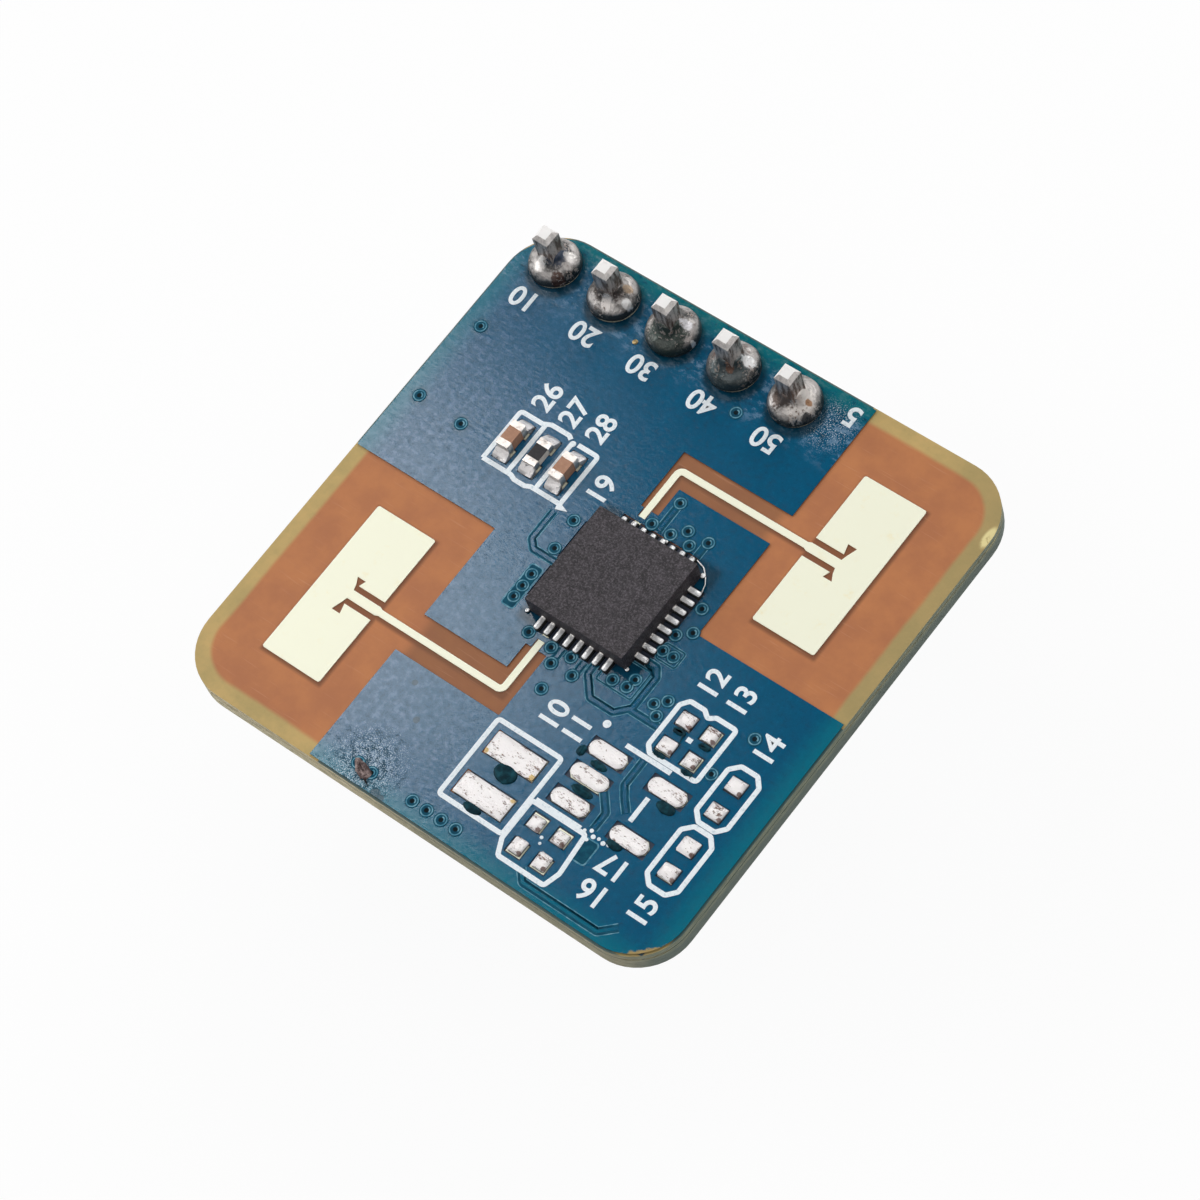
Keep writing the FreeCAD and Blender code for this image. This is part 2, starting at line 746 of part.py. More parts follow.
def feed_outline():
    """Corners of the line from the chip's land, round the bend and out to the patch."""
    half = "(sizes.feed_width / 2)"
    wide = "(sizes.inset_line_width / 2)"
    mouth = f"({PATCH_OFFSET} - sizes.patch_width / 2)"
    taper = f"({mouth} - sizes.inset_taper)"
    return [
        (f"-{half}", FEED_START),
        (half, FEED_START),
        (half, f"({PATCH_Y} - {half})"),
        (taper, f"({PATCH_Y} - {half})"),
        (mouth, f"({PATCH_Y} - {wide})"),
        (mouth, f"({PATCH_Y} + {wide})"),
        (taper, f"({PATCH_Y} + {half})"),
        (f"-{half}", f"({PATCH_Y} + {half})"),
    ]


def antenna(label, turned):
    """Inset-fed patch with its feed line, about the feed line's axis at the chip.

    The receive antenna is the transmit antenna turned by half a turn about that axis.
    """
    body = new_body(label)
    patch_sketch = new_sketch(body)
    draw_rectangle(patch_sketch, PATCH_OFFSET, PATCH_Y, "sizes.patch_width", "sizes.patch_length")
    patch = extrude(body, patch_sketch, "sizes.copper_thickness")
    fillet(body, patch, upright_edges(patch), "sizes.patch_rounding")
    slot_sketch = new_sketch(body, z="sizes.copper_thickness")
    slots = [hooked_slot("+", "sizes.long_hook"), hooked_slot("-", "sizes.short_hook")]
    draw_outlines(slot_sketch, slots)
    cut_through(body, slot_sketch)
    feed_sketch = new_sketch(body)
    outline = feed_outline()
    draw_outline(feed_sketch, outline)
    feed = extrude(body, feed_sketch, "sizes.copper_thickness")
    outer = fillet(body, feed, upright_edges(feed, [outline[7]]), "sizes.feed_bend_radius")
    inner_corner = upright_edges(outer, [outline[2]])
    fillet(body, outer, inner_corner, "sizes.feed_bend_inner_radius")
    half_turn = FreeCAD.Rotation(FreeCAD.Vector(0, 0, 1), 180 if turned else 0)
    return keep(place_on_board(body, FEED_X, "0", FRONT_COPPER, half_turn))


# Leadless chips


def ground_pad_size(size):
    """Side of the ground pad of a chip of this size."""
    return f"({size} - 2 * sizes.lead_length - 2 * sizes.ground_pad_gap)"


def ground_pad_land(x, y, size):
    """The ground pad of a chip as a land."""
    return x, y, ground_pad_size(size), ground_pad_size(size)


def chip_terminals(label, size, count):
    """Leads flush with the chip's underside and sides."""
    body = new_body(label)
    sketch = new_sketch(body, z="sizes.solder_gap")
    first = f"(-{(count - 1) / 2} * sizes.lead_pitch)"
    middle = f"(({size} - sizes.lead_length) / 2)"
    draw_rectangle(sketch, first, middle, "sizes.lead_width", "sizes.lead_length")
    lead = extrude(body, sketch, "sizes.lead_thickness")
    repeat_round_chip(body, lead, (sketch, ["H_Axis"]), (sketch, ["N_Axis"]), count)
    return body


def square_block(label, size, thickness, z):
    body = new_body(label)
    sketch = new_sketch(body, z=z)
    draw_rectangle(sketch, "0", "0", size, size)
    extrude(body, sketch, thickness)
    return body


def chip_solder(label, size, count):
    """Solder under and beside each lead, and under the ground pad."""
    body = new_body(label)
    first = f"(-{(count - 1) / 2} * sizes.lead_pitch - {LAND_WIDTH} / 2)"
    side = new_sketch(body, "YZ_Plane", z=first)
    face = f"({size} / 2)"
    outer = f"({face} + sizes.land_overhang)"
    inner = f"({face} - sizes.land_inner_reach)"
    crest = "(sizes.solder_gap + sizes.lead_solder_height)"
    draw_outline(side, [
        (inner, "0"),
        (outer, "0"),
        (outer, "sizes.solder_edge_height"),
        (face, crest),
        (face, "sizes.solder_gap"),
        (inner, "sizes.solder_gap"),
    ])
    bead = extrude(body, side, LAND_WIDTH)
    row_axis = (origin_part(body, "X_Axis"), [""])
    turn_axis = (origin_part(body, "Z_Axis"), [""])
    repeat_round_chip(body, bead, row_axis, turn_axis, count)
    film = new_sketch(body)
    draw_rectangle(film, *ground_pad_land("0", "0", size))
    extrude(body, film, "sizes.solder_gap")
    return body


def leadless_chip(name, x, y, size, height, count, behind):
    """Moulded chip with leads on four sides and a ground pad, seated on its solder."""
    terminals = mount(chip_terminals(f"{name}_terminals", size, count), x, y, behind)
    seat = "sizes.solder_gap"
    pad = square_block(f"{name}_ground_pad", ground_pad_size(size), "sizes.lead_thickness", seat)
    mount(pad, x, y, behind)
    block = mount(square_block(f"{name}_block", size, height, seat), x, y, behind)
    keep(subtract(f"{name}_body", block, [terminals, pad]))
    keep(terminals)
    keep(pad)
    keep(mount(chip_solder(f"{name}_solder", size, count), x, y, behind))


def chip_lands(body, x, y, size, count):
    """Copper lands on the four sides of a chip."""
    sketch = new_sketch(body, x=x, y=y)
    first = f"(-{(count - 1) / 2} * sizes.lead_pitch)"
    middle = f"({size} / 2 + (sizes.land_overhang - sizes.land_inner_reach) / 2)"
    depth = "(sizes.land_overhang + sizes.land_inner_reach)"
    draw_rectangle(sketch, first, middle, LAND_WIDTH, depth)
    land = extrude(body, sketch, "sizes.copper_thickness")
    repeat_round_chip(body, land, (sketch, ["H_Axis"]), (sketch, ["N_Axis"]), count)


def radar_chip():
    leadless_chip("radar_chip", "sizes.chip_x", "0", "sizes.chip_size", "sizes.chip_height",
                  CHIP_LEADS_PER_SIDE, False)
    lands = new_body("radar_chip_lands")
    chip_lands(lands, "sizes.chip_x", "0", "sizes.chip_size", CHIP_LEADS_PER_SIDE)
    keep(place_on_board(lands, "0", "0", FRONT_COPPER))


def controller():
    leadless_chip("controller", "sizes.controller_x", "sizes.controller_y",
                  "sizes.controller_size", "sizes.controller_height",
                  CONTROLLER_LEADS_PER_SIDE, True)


# Small two-terminal parts, along Y about their own middle


def part_block(label, skin, height):
    """Ceramic block that the end terminals wrap."""
    body = new_body(label)
    sketch = new_sketch(body, z=f"(sizes.solder_gap + {skin})")
    width = f"(sizes.part_width - 2 * {skin})"
    length = f"(sizes.part_length - 2 * {skin})"
    draw_rectangle(sketch, "0", "0", width, length)
    extrude(body, sketch, f"({height} - 2 * {skin})")
    return body


def part_terminals(label, height):
    """Metal caps on both ends of a block."""
    body = new_body(label + "_caps")
    sketch = new_sketch(body, z="sizes.solder_gap")
    reach = "(sizes.part_length - sizes.terminal_band) / 2"
    caps = [rectangle("0", f"(0 {side} {reach})", "sizes.part_width", "sizes.terminal_band")
            for side in "+-"]
    draw_outlines(sketch, caps)
    extrude(body, sketch, height)
    return body


def capacitor(name, x, y, behind):
    """Ceramic capacitor: a block with two wrapped ends."""
    block = part_block(f"{name}_body", "sizes.terminal_skin", "sizes.capacitor_height")
    mount(block, x, y, behind)
    caps = part_terminals(name, "sizes.capacitor_height")
    mount(caps, x, y, behind)
    keep(block)
    keep(subtract(f"{name}_terminals", caps, [block]))


def resistor(name, x, y, behind):
    """Chip resistor: a ceramic slab with two wrapped ends and a dark coat between them."""
    slab = part_block(f"{name}_slab", "sizes.terminal_skin", "sizes.resistor_height")
    mount(slab, x, y, behind)
    caps = part_terminals(name, "sizes.resistor_height")
    mount(caps, x, y, behind)
    coat = new_body(f"{name}_coat")
    top = "(sizes.solder_gap + sizes.resistor_height - sizes.terminal_skin)"
    sketch = new_sketch(coat, z=top)
    length = "(sizes.part_length - 2 * sizes.terminal_band)"
    width = "(sizes.part_width - 2 * sizes.terminal_skin)"
    draw_rectangle(sketch, "0", "0", width, length)
    extrude(coat, sketch, "sizes.resistor_coat_thickness")
    keep(slab)
    keep(mount(coat, x, y, behind))
    keep(subtract(f"{name}_terminals", caps, [slab]))


def part_solder(label, places, behind, y):
    """Solder under and beyond each end of a row of small parts."""
    body = new_body(label)
    end = "(sizes.part_length / 2)"
    outer = f"({SMALL_LAND_PITCH} / 2 + sizes.small_land_width / 2)"
    inner = f"({SMALL_LAND_PITCH} / 2 - sizes.small_land_width / 2)"
    crest = "(sizes.solder_gap + sizes.part_solder_height)"
    for x in places:
        sketch = new_sketch(body, "YZ_Plane", z=f"({x} - sizes.part_width / 2)")
        feet = []
        for side in ("", "-"):
            feet.append([
                (f"{side}{inner}", "0"),
                (f"{side}{outer}", "0"),
                (f"{side}{outer}", "sizes.solder_edge_height"),
                (f"{side}{end}", crest),
                (f"{side}{end}", "sizes.solder_gap"),
                (f"{side}{inner}", "sizes.solder_gap"),
            ])
        draw_outlines(sketch, feet)
        extrude(body, sketch, "sizes.part_width")
    return keep(mount(body, "0", y, behind))


def raise_lands(body, lands, gap, thickness):
    """Thin rectangles over a list of lands, each larger than its land by a gap all round."""
    sketch = new_sketch(body)
    draw_outlines(sketch, [rectangle(*grown(land, gap)) for land in lands])
    return extrude(body, sketch, thickness)


def front_parts():
    """The row of a capacitor, a resistor and a capacitor beside the radar chip."""
    capacitor("front_capacitor_1", front_cell_x(0), FRONT_ROW_Y, False)
    resistor("front_resistor", front_cell_x(1), FRONT_ROW_Y, False)
    capacitor("front_capacitor_2", front_cell_x(2), FRONT_ROW_Y, False)
    places = [front_cell_x(cell) for cell in range(FRONT_CELLS)]
    part_solder("front_part_solder", places, False, FRONT_ROW_Y)
    lands = new_body("front_part_lands")
    raise_lands(lands, front_part_lands(), "0", "sizes.copper_thickness")
    keep(place_on_board(lands, "0", "0", FRONT_COPPER))


def back_parts():
    """The row of small parts, the crystal and all the lands behind the board."""
    for cell in range(BACK_CAPACITORS):
        capacitor(f"back_capacitor_{cell + 1}", back_cell_x(cell), BACK_ROW_Y, True)
    resistor("back_resistor", back_cell_x(BACK_CAPACITORS), BACK_ROW_Y, True)
    places = [back_cell_x(cell) for cell in range(BACK_CAPACITORS + 1)]
    part_solder("back_part_solder", places, True, BACK_ROW_Y)
    lands = new_body("back_lands")
    raise_lands(lands, back_part_lands(), "0", "sizes.copper_thickness")
    chip_lands(lands, "sizes.controller_x", "sizes.controller_y", "sizes.controller_size",
               CONTROLLER_LEADS_PER_SIDE)
    keep(place_on_board(lands, "0", "0", BACK_COPPER))


def crystal():
    """Ceramic base with a welded metal lid, on four corner lands."""
    base = new_body("crystal_base")
    sketch = new_sketch(base, z="sizes.solder_gap")
    draw_rectangle(sketch, "0", "0", "sizes.crystal_length", "sizes.crystal_width")
    extrude(base, sketch, "sizes.crystal_base_height")
    lid = new_body("crystal_lid")
    sketch = new_sketch(lid, z="(sizes.solder_gap + sizes.crystal_base_height)")
    length = "(sizes.crystal_length - 2 * sizes.crystal_lid_inset)"
    width = "(sizes.crystal_width - 2 * sizes.crystal_lid_inset)"
    draw_rectangle(sketch, "0", "0", length, width)
    slab = extrude(lid, sketch, "sizes.crystal_lid_height")
    fillet(lid, slab, upright_edges(slab), "sizes.crystal_lid_rounding")
    solder = new_body("crystal_solder")
    raise_lands(solder, crystal_lands("0", "0"), "0", "sizes.solder_gap")
    for solid in (base, lid, solder):
        keep(mount(solid, "sizes.crystal_x", "sizes.crystal_y", True))


# Lands without parts


def raise_spare_lands(body, gap, thickness):
    """Lands of the parts that are left out; the regulator's have their corners cut."""
    raise_lands(body, coil_lands() + spare_small_lands(), gap, thickness)
    slab = raise_lands(body, regulator_lands(), gap, thickness)
    corners = upright_edges(slab, land_corners(regulator_lands(), gap))
    return chamfer(body, slab, corners, "sizes.regulator_land_corner")


def spare_footprints():
    """Copper lands of the parts that are left out, and the crowned solder on them."""
    lands = new_body("spare_lands")
    raise_spare_lands(lands, "0", "sizes.copper_thickness")
    keep(place_on_board(lands, "0", "0", FRONT_COPPER))
    coat = new_body("spare_solder")
    slab = raise_spare_lands(coat, "(0 - sizes.spare_solder_inset)", "sizes.spare_solder_height")
    crest = level_edges(slab, number("sizes.spare_solder_height"))
    chamfer(coat, slab, crest, "sizes.spare_solder_chamfer")
    keep(place_on_board(coat, "0", "0", FRONT_MASK))


def land_corners(lands, gap):
    """The four corners of each land."""
    corners = []
    for land in lands:
        x, y, length, width = grown(land, gap)
        for side_x in "+-":
            for side_y in "+-":
                corners.append((f"({x} {side_x} {length} / 2)", f"({y} {side_y} {width} / 2)"))
    return corners


# Header


def header_insulator():
    """Row of notched blocks, one for each pin, with a square hole through each."""
    body = new_body("header_insulator")
    sketch = new_sketch(body)
    first = f"(-{(PIN_COUNT - 1) / 2} * sizes.pin_pitch)"
    half_pitch = "(sizes.pin_pitch / 2)"
    half_width = "(sizes.insulator_width / 2)"
    notch = "sizes.insulator_notch"
    draw_outline(sketch, [
        (f"({first} - {half_pitch})", f"(-{half_width} + {notch})"),
        (f"({first} - {half_pitch} + {notch})", f"-{half_width}"),
        (f"({first} + {half_pitch} - {notch})", f"-{half_width}"),
        (f"({first} + {half_pitch})", f"(-{half_width} + {notch})"),
        (f"({first} + {half_pitch})", f"({half_width} - {notch})"),
        (f"({first} + {half_pitch} - {notch})", half_width),
        (f"({first} - {half_pitch} + {notch})", half_width),
        (f"({first} - {half_pitch})", f"({half_width} - {notch})"),
    ])
    block = extrude(body, sketch, "sizes.insulator_height")
    repeat_along(body, block, (sketch, ["H_Axis"]), PIN_COUNT, "sizes.pin_pitch")
    hole_sketch = new_sketch(body, z="sizes.insulator_height")
    draw_rectangle(hole_sketch, first, "0", "sizes.pin_width", "sizes.pin_width")
    hole = cut_through(body, hole_sketch)
    repeat_along(body, hole, (hole_sketch, ["H_Axis"]), PIN_COUNT, "sizes.pin_pitch")
    return keep(body)


def pin_x(index):
    return f"({index - (PIN_COUNT - 1) / 2} * sizes.pin_pitch)"


def header_pin(index):
    """Square pin with both tips chamfered."""
    body = new_body(f"header_pin_{index + 1}")
    sketch = new_sketch(body)
    draw_rectangle(sketch, "0", "0", "sizes.pin_width", "sizes.pin_width")
    length = (f"(sizes.pin_reach_below + sizes.insulator_height + {BOARD_THICKNESS}"
              " + sizes.pin_reach_above)")
    shaft = extrude(body, sketch, length)
    tips = level_edges(shaft, 0) + level_edges(shaft, number(length))
    chamfer(body, shaft, tips, "sizes.pin_tip_chamfer")
    return keep(place(body, pin_x(index), "0", "-sizes.pin_reach_below"))


def header_barrels():
    """Plated holes, each with a round land on both faces of the board."""
    body = new_body("header_barrels")
    sketch = new_sketch(body, "XZ_Plane")
    wall = HOLE_RADIUS
    rim = HEADER_LAND
    copper = "sizes.copper_thickness"
    top = f"({FRONT_MASK} - {BACK_COPPER})"
    draw_outline(sketch, [
        (BARREL_BORE, "0"),
        (rim, "0"),
        (rim, copper),
        (wall, copper),
        (wall, f"({top} - {copper})"),
        (rim, f"({top} - {copper})"),
        (rim, top),
        (BARREL_BORE, top),
    ])
    barrel = body.newObject("PartDesign::Revolution", "barrel")
    barrel.Profile = sketch
    barrel.ReferenceAxis = (sketch, ["V_Axis"])
    doc.recompute()
    repeat_along(body, barrel, (origin_part(body, "X_Axis"), [""]), PIN_COUNT, "sizes.pin_pitch")
    return keep(place(body, pin_x(0), "0", BACK_COPPER))


def header_solder(index):
    """Solder that fills the plated hole and climbs the pin over a round shoulder."""
    body = new_body(f"header_solder_{index + 1}")
    neck = f"({PIN_CORNER} + sizes.solder_neck_gap)"
    shoulder = f"({HEADER_LAND} - sizes.solder_shoulder_step)"
    floor = f"({FRONT_MASK} - {BACK_COPPER})"
    crest = f"({floor} + sizes.solder_height)"
    sketch = new_sketch(body, "XZ_Plane")
    draw_outline(sketch, [
        ("0", "0"),
        (BARREL_BORE, "0"),
        (BARREL_BORE, floor),
        (HEADER_LAND, floor),
        (shoulder, f"({floor} + sizes.solder_shoulder_height)"),
        (neck, crest),
        ("0", crest),
    ])
    cone = body.newObject("PartDesign::Revolution", "cone")
    cone.Profile = sketch
    cone.ReferenceAxis = (sketch, ["V_Axis"])
    doc.recompute()
    hole = new_sketch(body, z=crest)
    draw_rectangle(hole, "0", "0", "sizes.pin_width", "sizes.pin_width")
    cut_through(body, hole)
    return keep(place(body, pin_x(index), "0", BACK_COPPER))


def write_pieces():
    """Stop at any failed object, then write one file for each piece."""
    doc.recompute()
    failed = [item.Name for item in doc.Objects if {"Invalid", "Error"} & set(item.State)]
    if failed:
        raise RuntimeError(f"failed objects: {failed}")
    for solid in nodes:
        if solid.Shape.isNull() or not solid.Shape.isValid():
            raise RuntimeError(f"{solid.Label} has no valid shape")
    os.makedirs("parts", exist_ok=True)
    for solid in nodes:
        solid.Shape.exportStep(os.path.join("parts", solid.Label + ".step"))
        print(f"{solid.Label}: {len(solid.Shape.Solids)} solid(s), {solid.Shape.Volume:.4f} mm3")


def main():
    fill_sheet()
    laminate("lower_laminate", "sizes.lower_laminate_thickness", LOWER_LAMINATE)
    laminate("upper_laminate", "sizes.upper_laminate_thickness", UPPER_LAMINATE)
    inner_ground_plane()
    front_ground_copper()
    front_solder_mask()
    back_ground_copper()
    back_solder_mask()
    antenna("transmit_antenna", False)
    antenna("receive_antenna", True)
    radar_chip()
    controller()
    front_parts()
    back_parts()
    crystal()
    spare_footprints()
    header_insulator()
    header_barrels()
    for index in range(PIN_COUNT):
        header_pin(index)
        header_solder(index)
    write_pieces()


main()
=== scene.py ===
"""Dresses a small square radar sensor board with its chip, antennas, soldered header and prints."""

import logging
import math
from contextlib import contextmanager
from dataclasses import dataclass
from enum import Enum
from typing import Any, Callable, Iterator, Sequence

import bpy
from mathutils import Matrix, Vector


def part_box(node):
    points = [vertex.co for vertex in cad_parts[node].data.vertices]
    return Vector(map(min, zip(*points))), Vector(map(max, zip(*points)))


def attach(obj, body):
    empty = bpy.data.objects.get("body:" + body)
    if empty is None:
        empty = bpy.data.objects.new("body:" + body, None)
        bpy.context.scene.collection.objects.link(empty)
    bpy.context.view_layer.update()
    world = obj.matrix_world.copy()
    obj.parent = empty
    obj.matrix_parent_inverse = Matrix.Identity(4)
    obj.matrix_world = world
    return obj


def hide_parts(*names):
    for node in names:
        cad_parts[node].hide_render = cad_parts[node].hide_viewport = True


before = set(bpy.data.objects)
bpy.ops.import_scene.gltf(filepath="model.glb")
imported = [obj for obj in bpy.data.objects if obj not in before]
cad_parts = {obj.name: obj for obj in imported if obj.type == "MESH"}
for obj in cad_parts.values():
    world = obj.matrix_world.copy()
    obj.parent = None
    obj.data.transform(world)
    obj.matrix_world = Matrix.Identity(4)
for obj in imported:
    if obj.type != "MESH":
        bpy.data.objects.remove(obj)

LOG = logging.getLogger("radar_board")
MM = 0.001
BODY = "root"
WHITE = (1.0, 1.0, 1.0, 1.0)
SEAM = 1e-7
ARC_STEPS = 4
STEEPEST_MITRE = 0.3
CORNER_SHARE = 0.49
UPRIGHT = 0.9
LEVEL = 0.1
SNAP = 1e-6
Pair = tuple[float, float]
Triple = tuple[float, float, float]
Box = tuple[float, float, float, float]
Loop = list[Pair]
Piece = bpy.types.Object
Material = bpy.types.Material


def tone(code: str) -> Box:
    """Turns a hex colour as seen on a screen into linear values.

    Args:
        code: Colour such as "#5f7894".

    Returns:
        Red, green, blue and alpha for a shader socket.
    """
    parts = [int(code[i:i + 2], 16) / 255 for i in (1, 3, 5)]
    linear = [c / 12.92 if c <= 0.04045 else ((c + 0.055) / 1.055) ** 2.4 for c in parts]
    return linear[0], linear[1], linear[2], 1.0


@dataclass(frozen=True)
class BoardFrame:
    """Places in mm from the middle of the antenna face, turned into row-frame metres."""

    middle: Triple

    @classmethod
    def measured(cls) -> "BoardFrame":
        """Reads the board's middle and its front face from the solids.

        Returns:
            The board's frame.
        """
        low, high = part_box("upper_laminate")
        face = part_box("front_solder_mask")[1].z
        return cls(((low.x + high.x) / 2, (low.y + high.y) / 2, face))

    def point(self, x: float, y: float, z: float = 0.0) -> Vector:
        """Gives the row-frame place of x along the pins, y to the header and z up, in mm."""
        return Vector(self.middle) + Vector((x, y, z)) * MM

    def over(self, level: float) -> float:
        """Gives the height in mm of a row-frame level over the front solder mask."""
        return (level - self.middle[2]) / MM


BOARD = BoardFrame.measured()


class Side(Enum):
    """What a selection is made of."""

    FACES = (False, False, True)
    EDGES = (False, True, False)


class Bench:
    """The modelling steps that every new piece goes through."""

    @staticmethod
    def pick(*pieces: Piece) -> None:
        """Selects these pieces alone and makes the first one active.

        Args:
            pieces: The pieces.
        """
        bpy.ops.object.select_all(action="DESELECT")
        for piece in pieces:
            piece.select_set(True)
        bpy.context.view_layer.objects.active = pieces[0]

    @classmethod
    def settle(cls, piece: Piece, name: str) -> Piece:
        """Names a piece and moves its place, turn and scale into its mesh.

        Args:
            piece: The piece.
            name: Its name.

        Returns:
            The same piece.
        """
        piece.name = piece.data.name = name
        cls.pick(piece)
        bpy.ops.object.transform_apply(location=True, rotation=True, scale=True)
        return piece

    @classmethod
    def cube(cls, name: str, size: Triple, middle: Vector) -> Piece:
        """Adds a block.

        Args:
            name: Name of the piece.
            size: Length, width and height in mm.
            middle: Its middle in row-frame metres.

        Returns:
            The block, with its place in its mesh.
        """
        bpy.ops.mesh.primitive_cube_add(size=1.0, location=middle)
        block = bpy.context.object
        block.scale = Vector(size) * MM
        return cls.settle(block, name)

    @classmethod
    def disc(cls, name: str, radius: float, middle: Vector, corners: int) -> Piece:
        """Adds a filled round outline.

        Args:
            name: Name of the piece.
            radius: Radius in mm.
            middle: Its middle in row-frame metres.
            corners: Number of corners round it.

        Returns:
            The disc, with its place in its mesh.
        """
        bpy.ops.mesh.primitive_circle_add(
            vertices=corners, radius=radius * MM, fill_type="NGON", location=middle
        )
        return cls.settle(bpy.context.object, name)

    @classmethod
    @contextmanager
    def editing(
        cls, piece: Piece, side: Side,
        wanted: Callable[[Vector, Vector], bool] = lambda spot, way: True,
    ) -> Iterator[None]:
        """Opens a piece in edit mode with the wanted faces or edges selected.

        Args:
            piece: The piece to shape.
            side: Whether faces or edges are selected.
            wanted: Test on a face's middle and normal, or an edge's middle and direction.

        Yields:
            Nothing; the piece is in edit mode meanwhile.
        """
        cls.pick(piece)
        mesh = piece.data
        for vertex in mesh.vertices:
            vertex.select = False
        for edge in mesh.edges:
            start, end = (mesh.vertices[i].co for i in edge.vertices)
            way = (end - start).normalized()
            edge.select = side is Side.EDGES and wanted((start + end) / 2, way)
        for face in mesh.polygons:
            face.select = side is Side.FACES and wanted(face.center, face.normal)
        bpy.context.tool_settings.mesh_select_mode = side.value
        bpy.ops.object.mode_set(mode="EDIT")
        yield
        bpy.ops.object.mode_set(mode="OBJECT")

    @staticmethod
    def lift(height: float) -> None:
        """Draws the selected faces upwards by a height in mm."""
        bpy.ops.mesh.extrude_region_move(TRANSFORM_OT_translate={"value": (0, 0, height * MM)})

    @staticmethod
    def inset(*steps: Pair) -> None:
        """Insets the selected faces by each width and depth in mm in turn."""
        for width, depth in steps:
            bpy.ops.mesh.inset(thickness=width * MM, depth=depth * MM)

    @staticmethod
    def round_off(width: float, segments: int) -> None:
        """Bevels the selected edges by a width in mm."""
        bpy.ops.mesh.bevel(offset=width * MM, segments=segments, affect="EDGES")

    @staticmethod
    def roughen(offset: float, seed: int) -> None:
        """Moves the selected corners at random by up to an offset in mm."""
        bpy.ops.transform.vertex_random(offset=offset * MM, seed=seed)

    @staticmethod
    def resize(across: float, along: float, middle: Vector) -> None:
        """Scales the selection along and across the board about a place."""
        bpy.ops.transform.resize(value=(across, along, 1.0), center_override=middle)

    @staticmethod
    def copy(piece: Piece, name: str, change: Matrix) -> Piece:
        """Copies a piece with a mesh of its own and moves that mesh.

        Args:
            piece: The piece that is repeated.
            name: Name of the copy.
            change: Row-frame change of place, turn and scale.

        Returns:
            The copy.
        """
        twin = piece.copy()
        twin.data = piece.data.copy()
        twin.name = twin.data.name = name
        bpy.context.scene.collection.objects.link(twin)
        twin.data.transform(change)
        return twin

    @staticmethod
    def coat(piece: Piece, material: Material) -> None:
        """Gives a piece one finish."""
        piece.data.materials.clear()
        piece.data.materials.append(material)

    @classmethod
    def finish(
        cls, name: str, pieces: Sequence[Piece], material: Material, slot: str | None = None,
        stands_for: Sequence[str] = (), angle: float = 40.0,
    ) -> None:
        """Makes one piece of several: normals out, smooth shading, finish and body.

        Args:
            name: Name of the whole piece.
            pieces: What it is joined from.
            material: Its finish.
            slot: Not used; callers give a name, or None for print and flux.
            stands_for: Solids that it replaces.
            angle: Degrees up to which edges are shaded smooth.
        """
        cls.pick(*pieces)
        if len(pieces) > 1:
            bpy.ops.object.join()
        whole = bpy.context.object
        whole.name = whole.data.name = name
        with cls.editing(whole, Side.FACES):
            bpy.ops.mesh.remove_doubles(threshold=SEAM)
            bpy.ops.mesh.normals_make_consistent(inside=False)
        bpy.ops.object.shade_smooth_by_angle(angle=math.radians(angle))
        cls.coat(whole, material)
        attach(whole, BODY)
        if stands_for:
            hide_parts(*stands_for)
        LOG.info("%s: %d faces", whole.name, len(whole.data.polygons))


def turned_about(place: Vector, angle: float, scale: Triple = (1.0, 1.0, 1.0)) -> Matrix:
    """Turns and scales about an upright axis through a place.

    Args:
        place: A point of the axis in row-frame metres.
        angle: Turn in degrees.
        scale: Scale along each axis.

    Returns:
        The change as a matrix.
    """
    turn = Matrix.Rotation(math.radians(angle), 4, "Z") @ Matrix.Diagonal((*scale, 1.0))
    return Matrix.Translation(place) @ turn @ Matrix.Translation(-place)


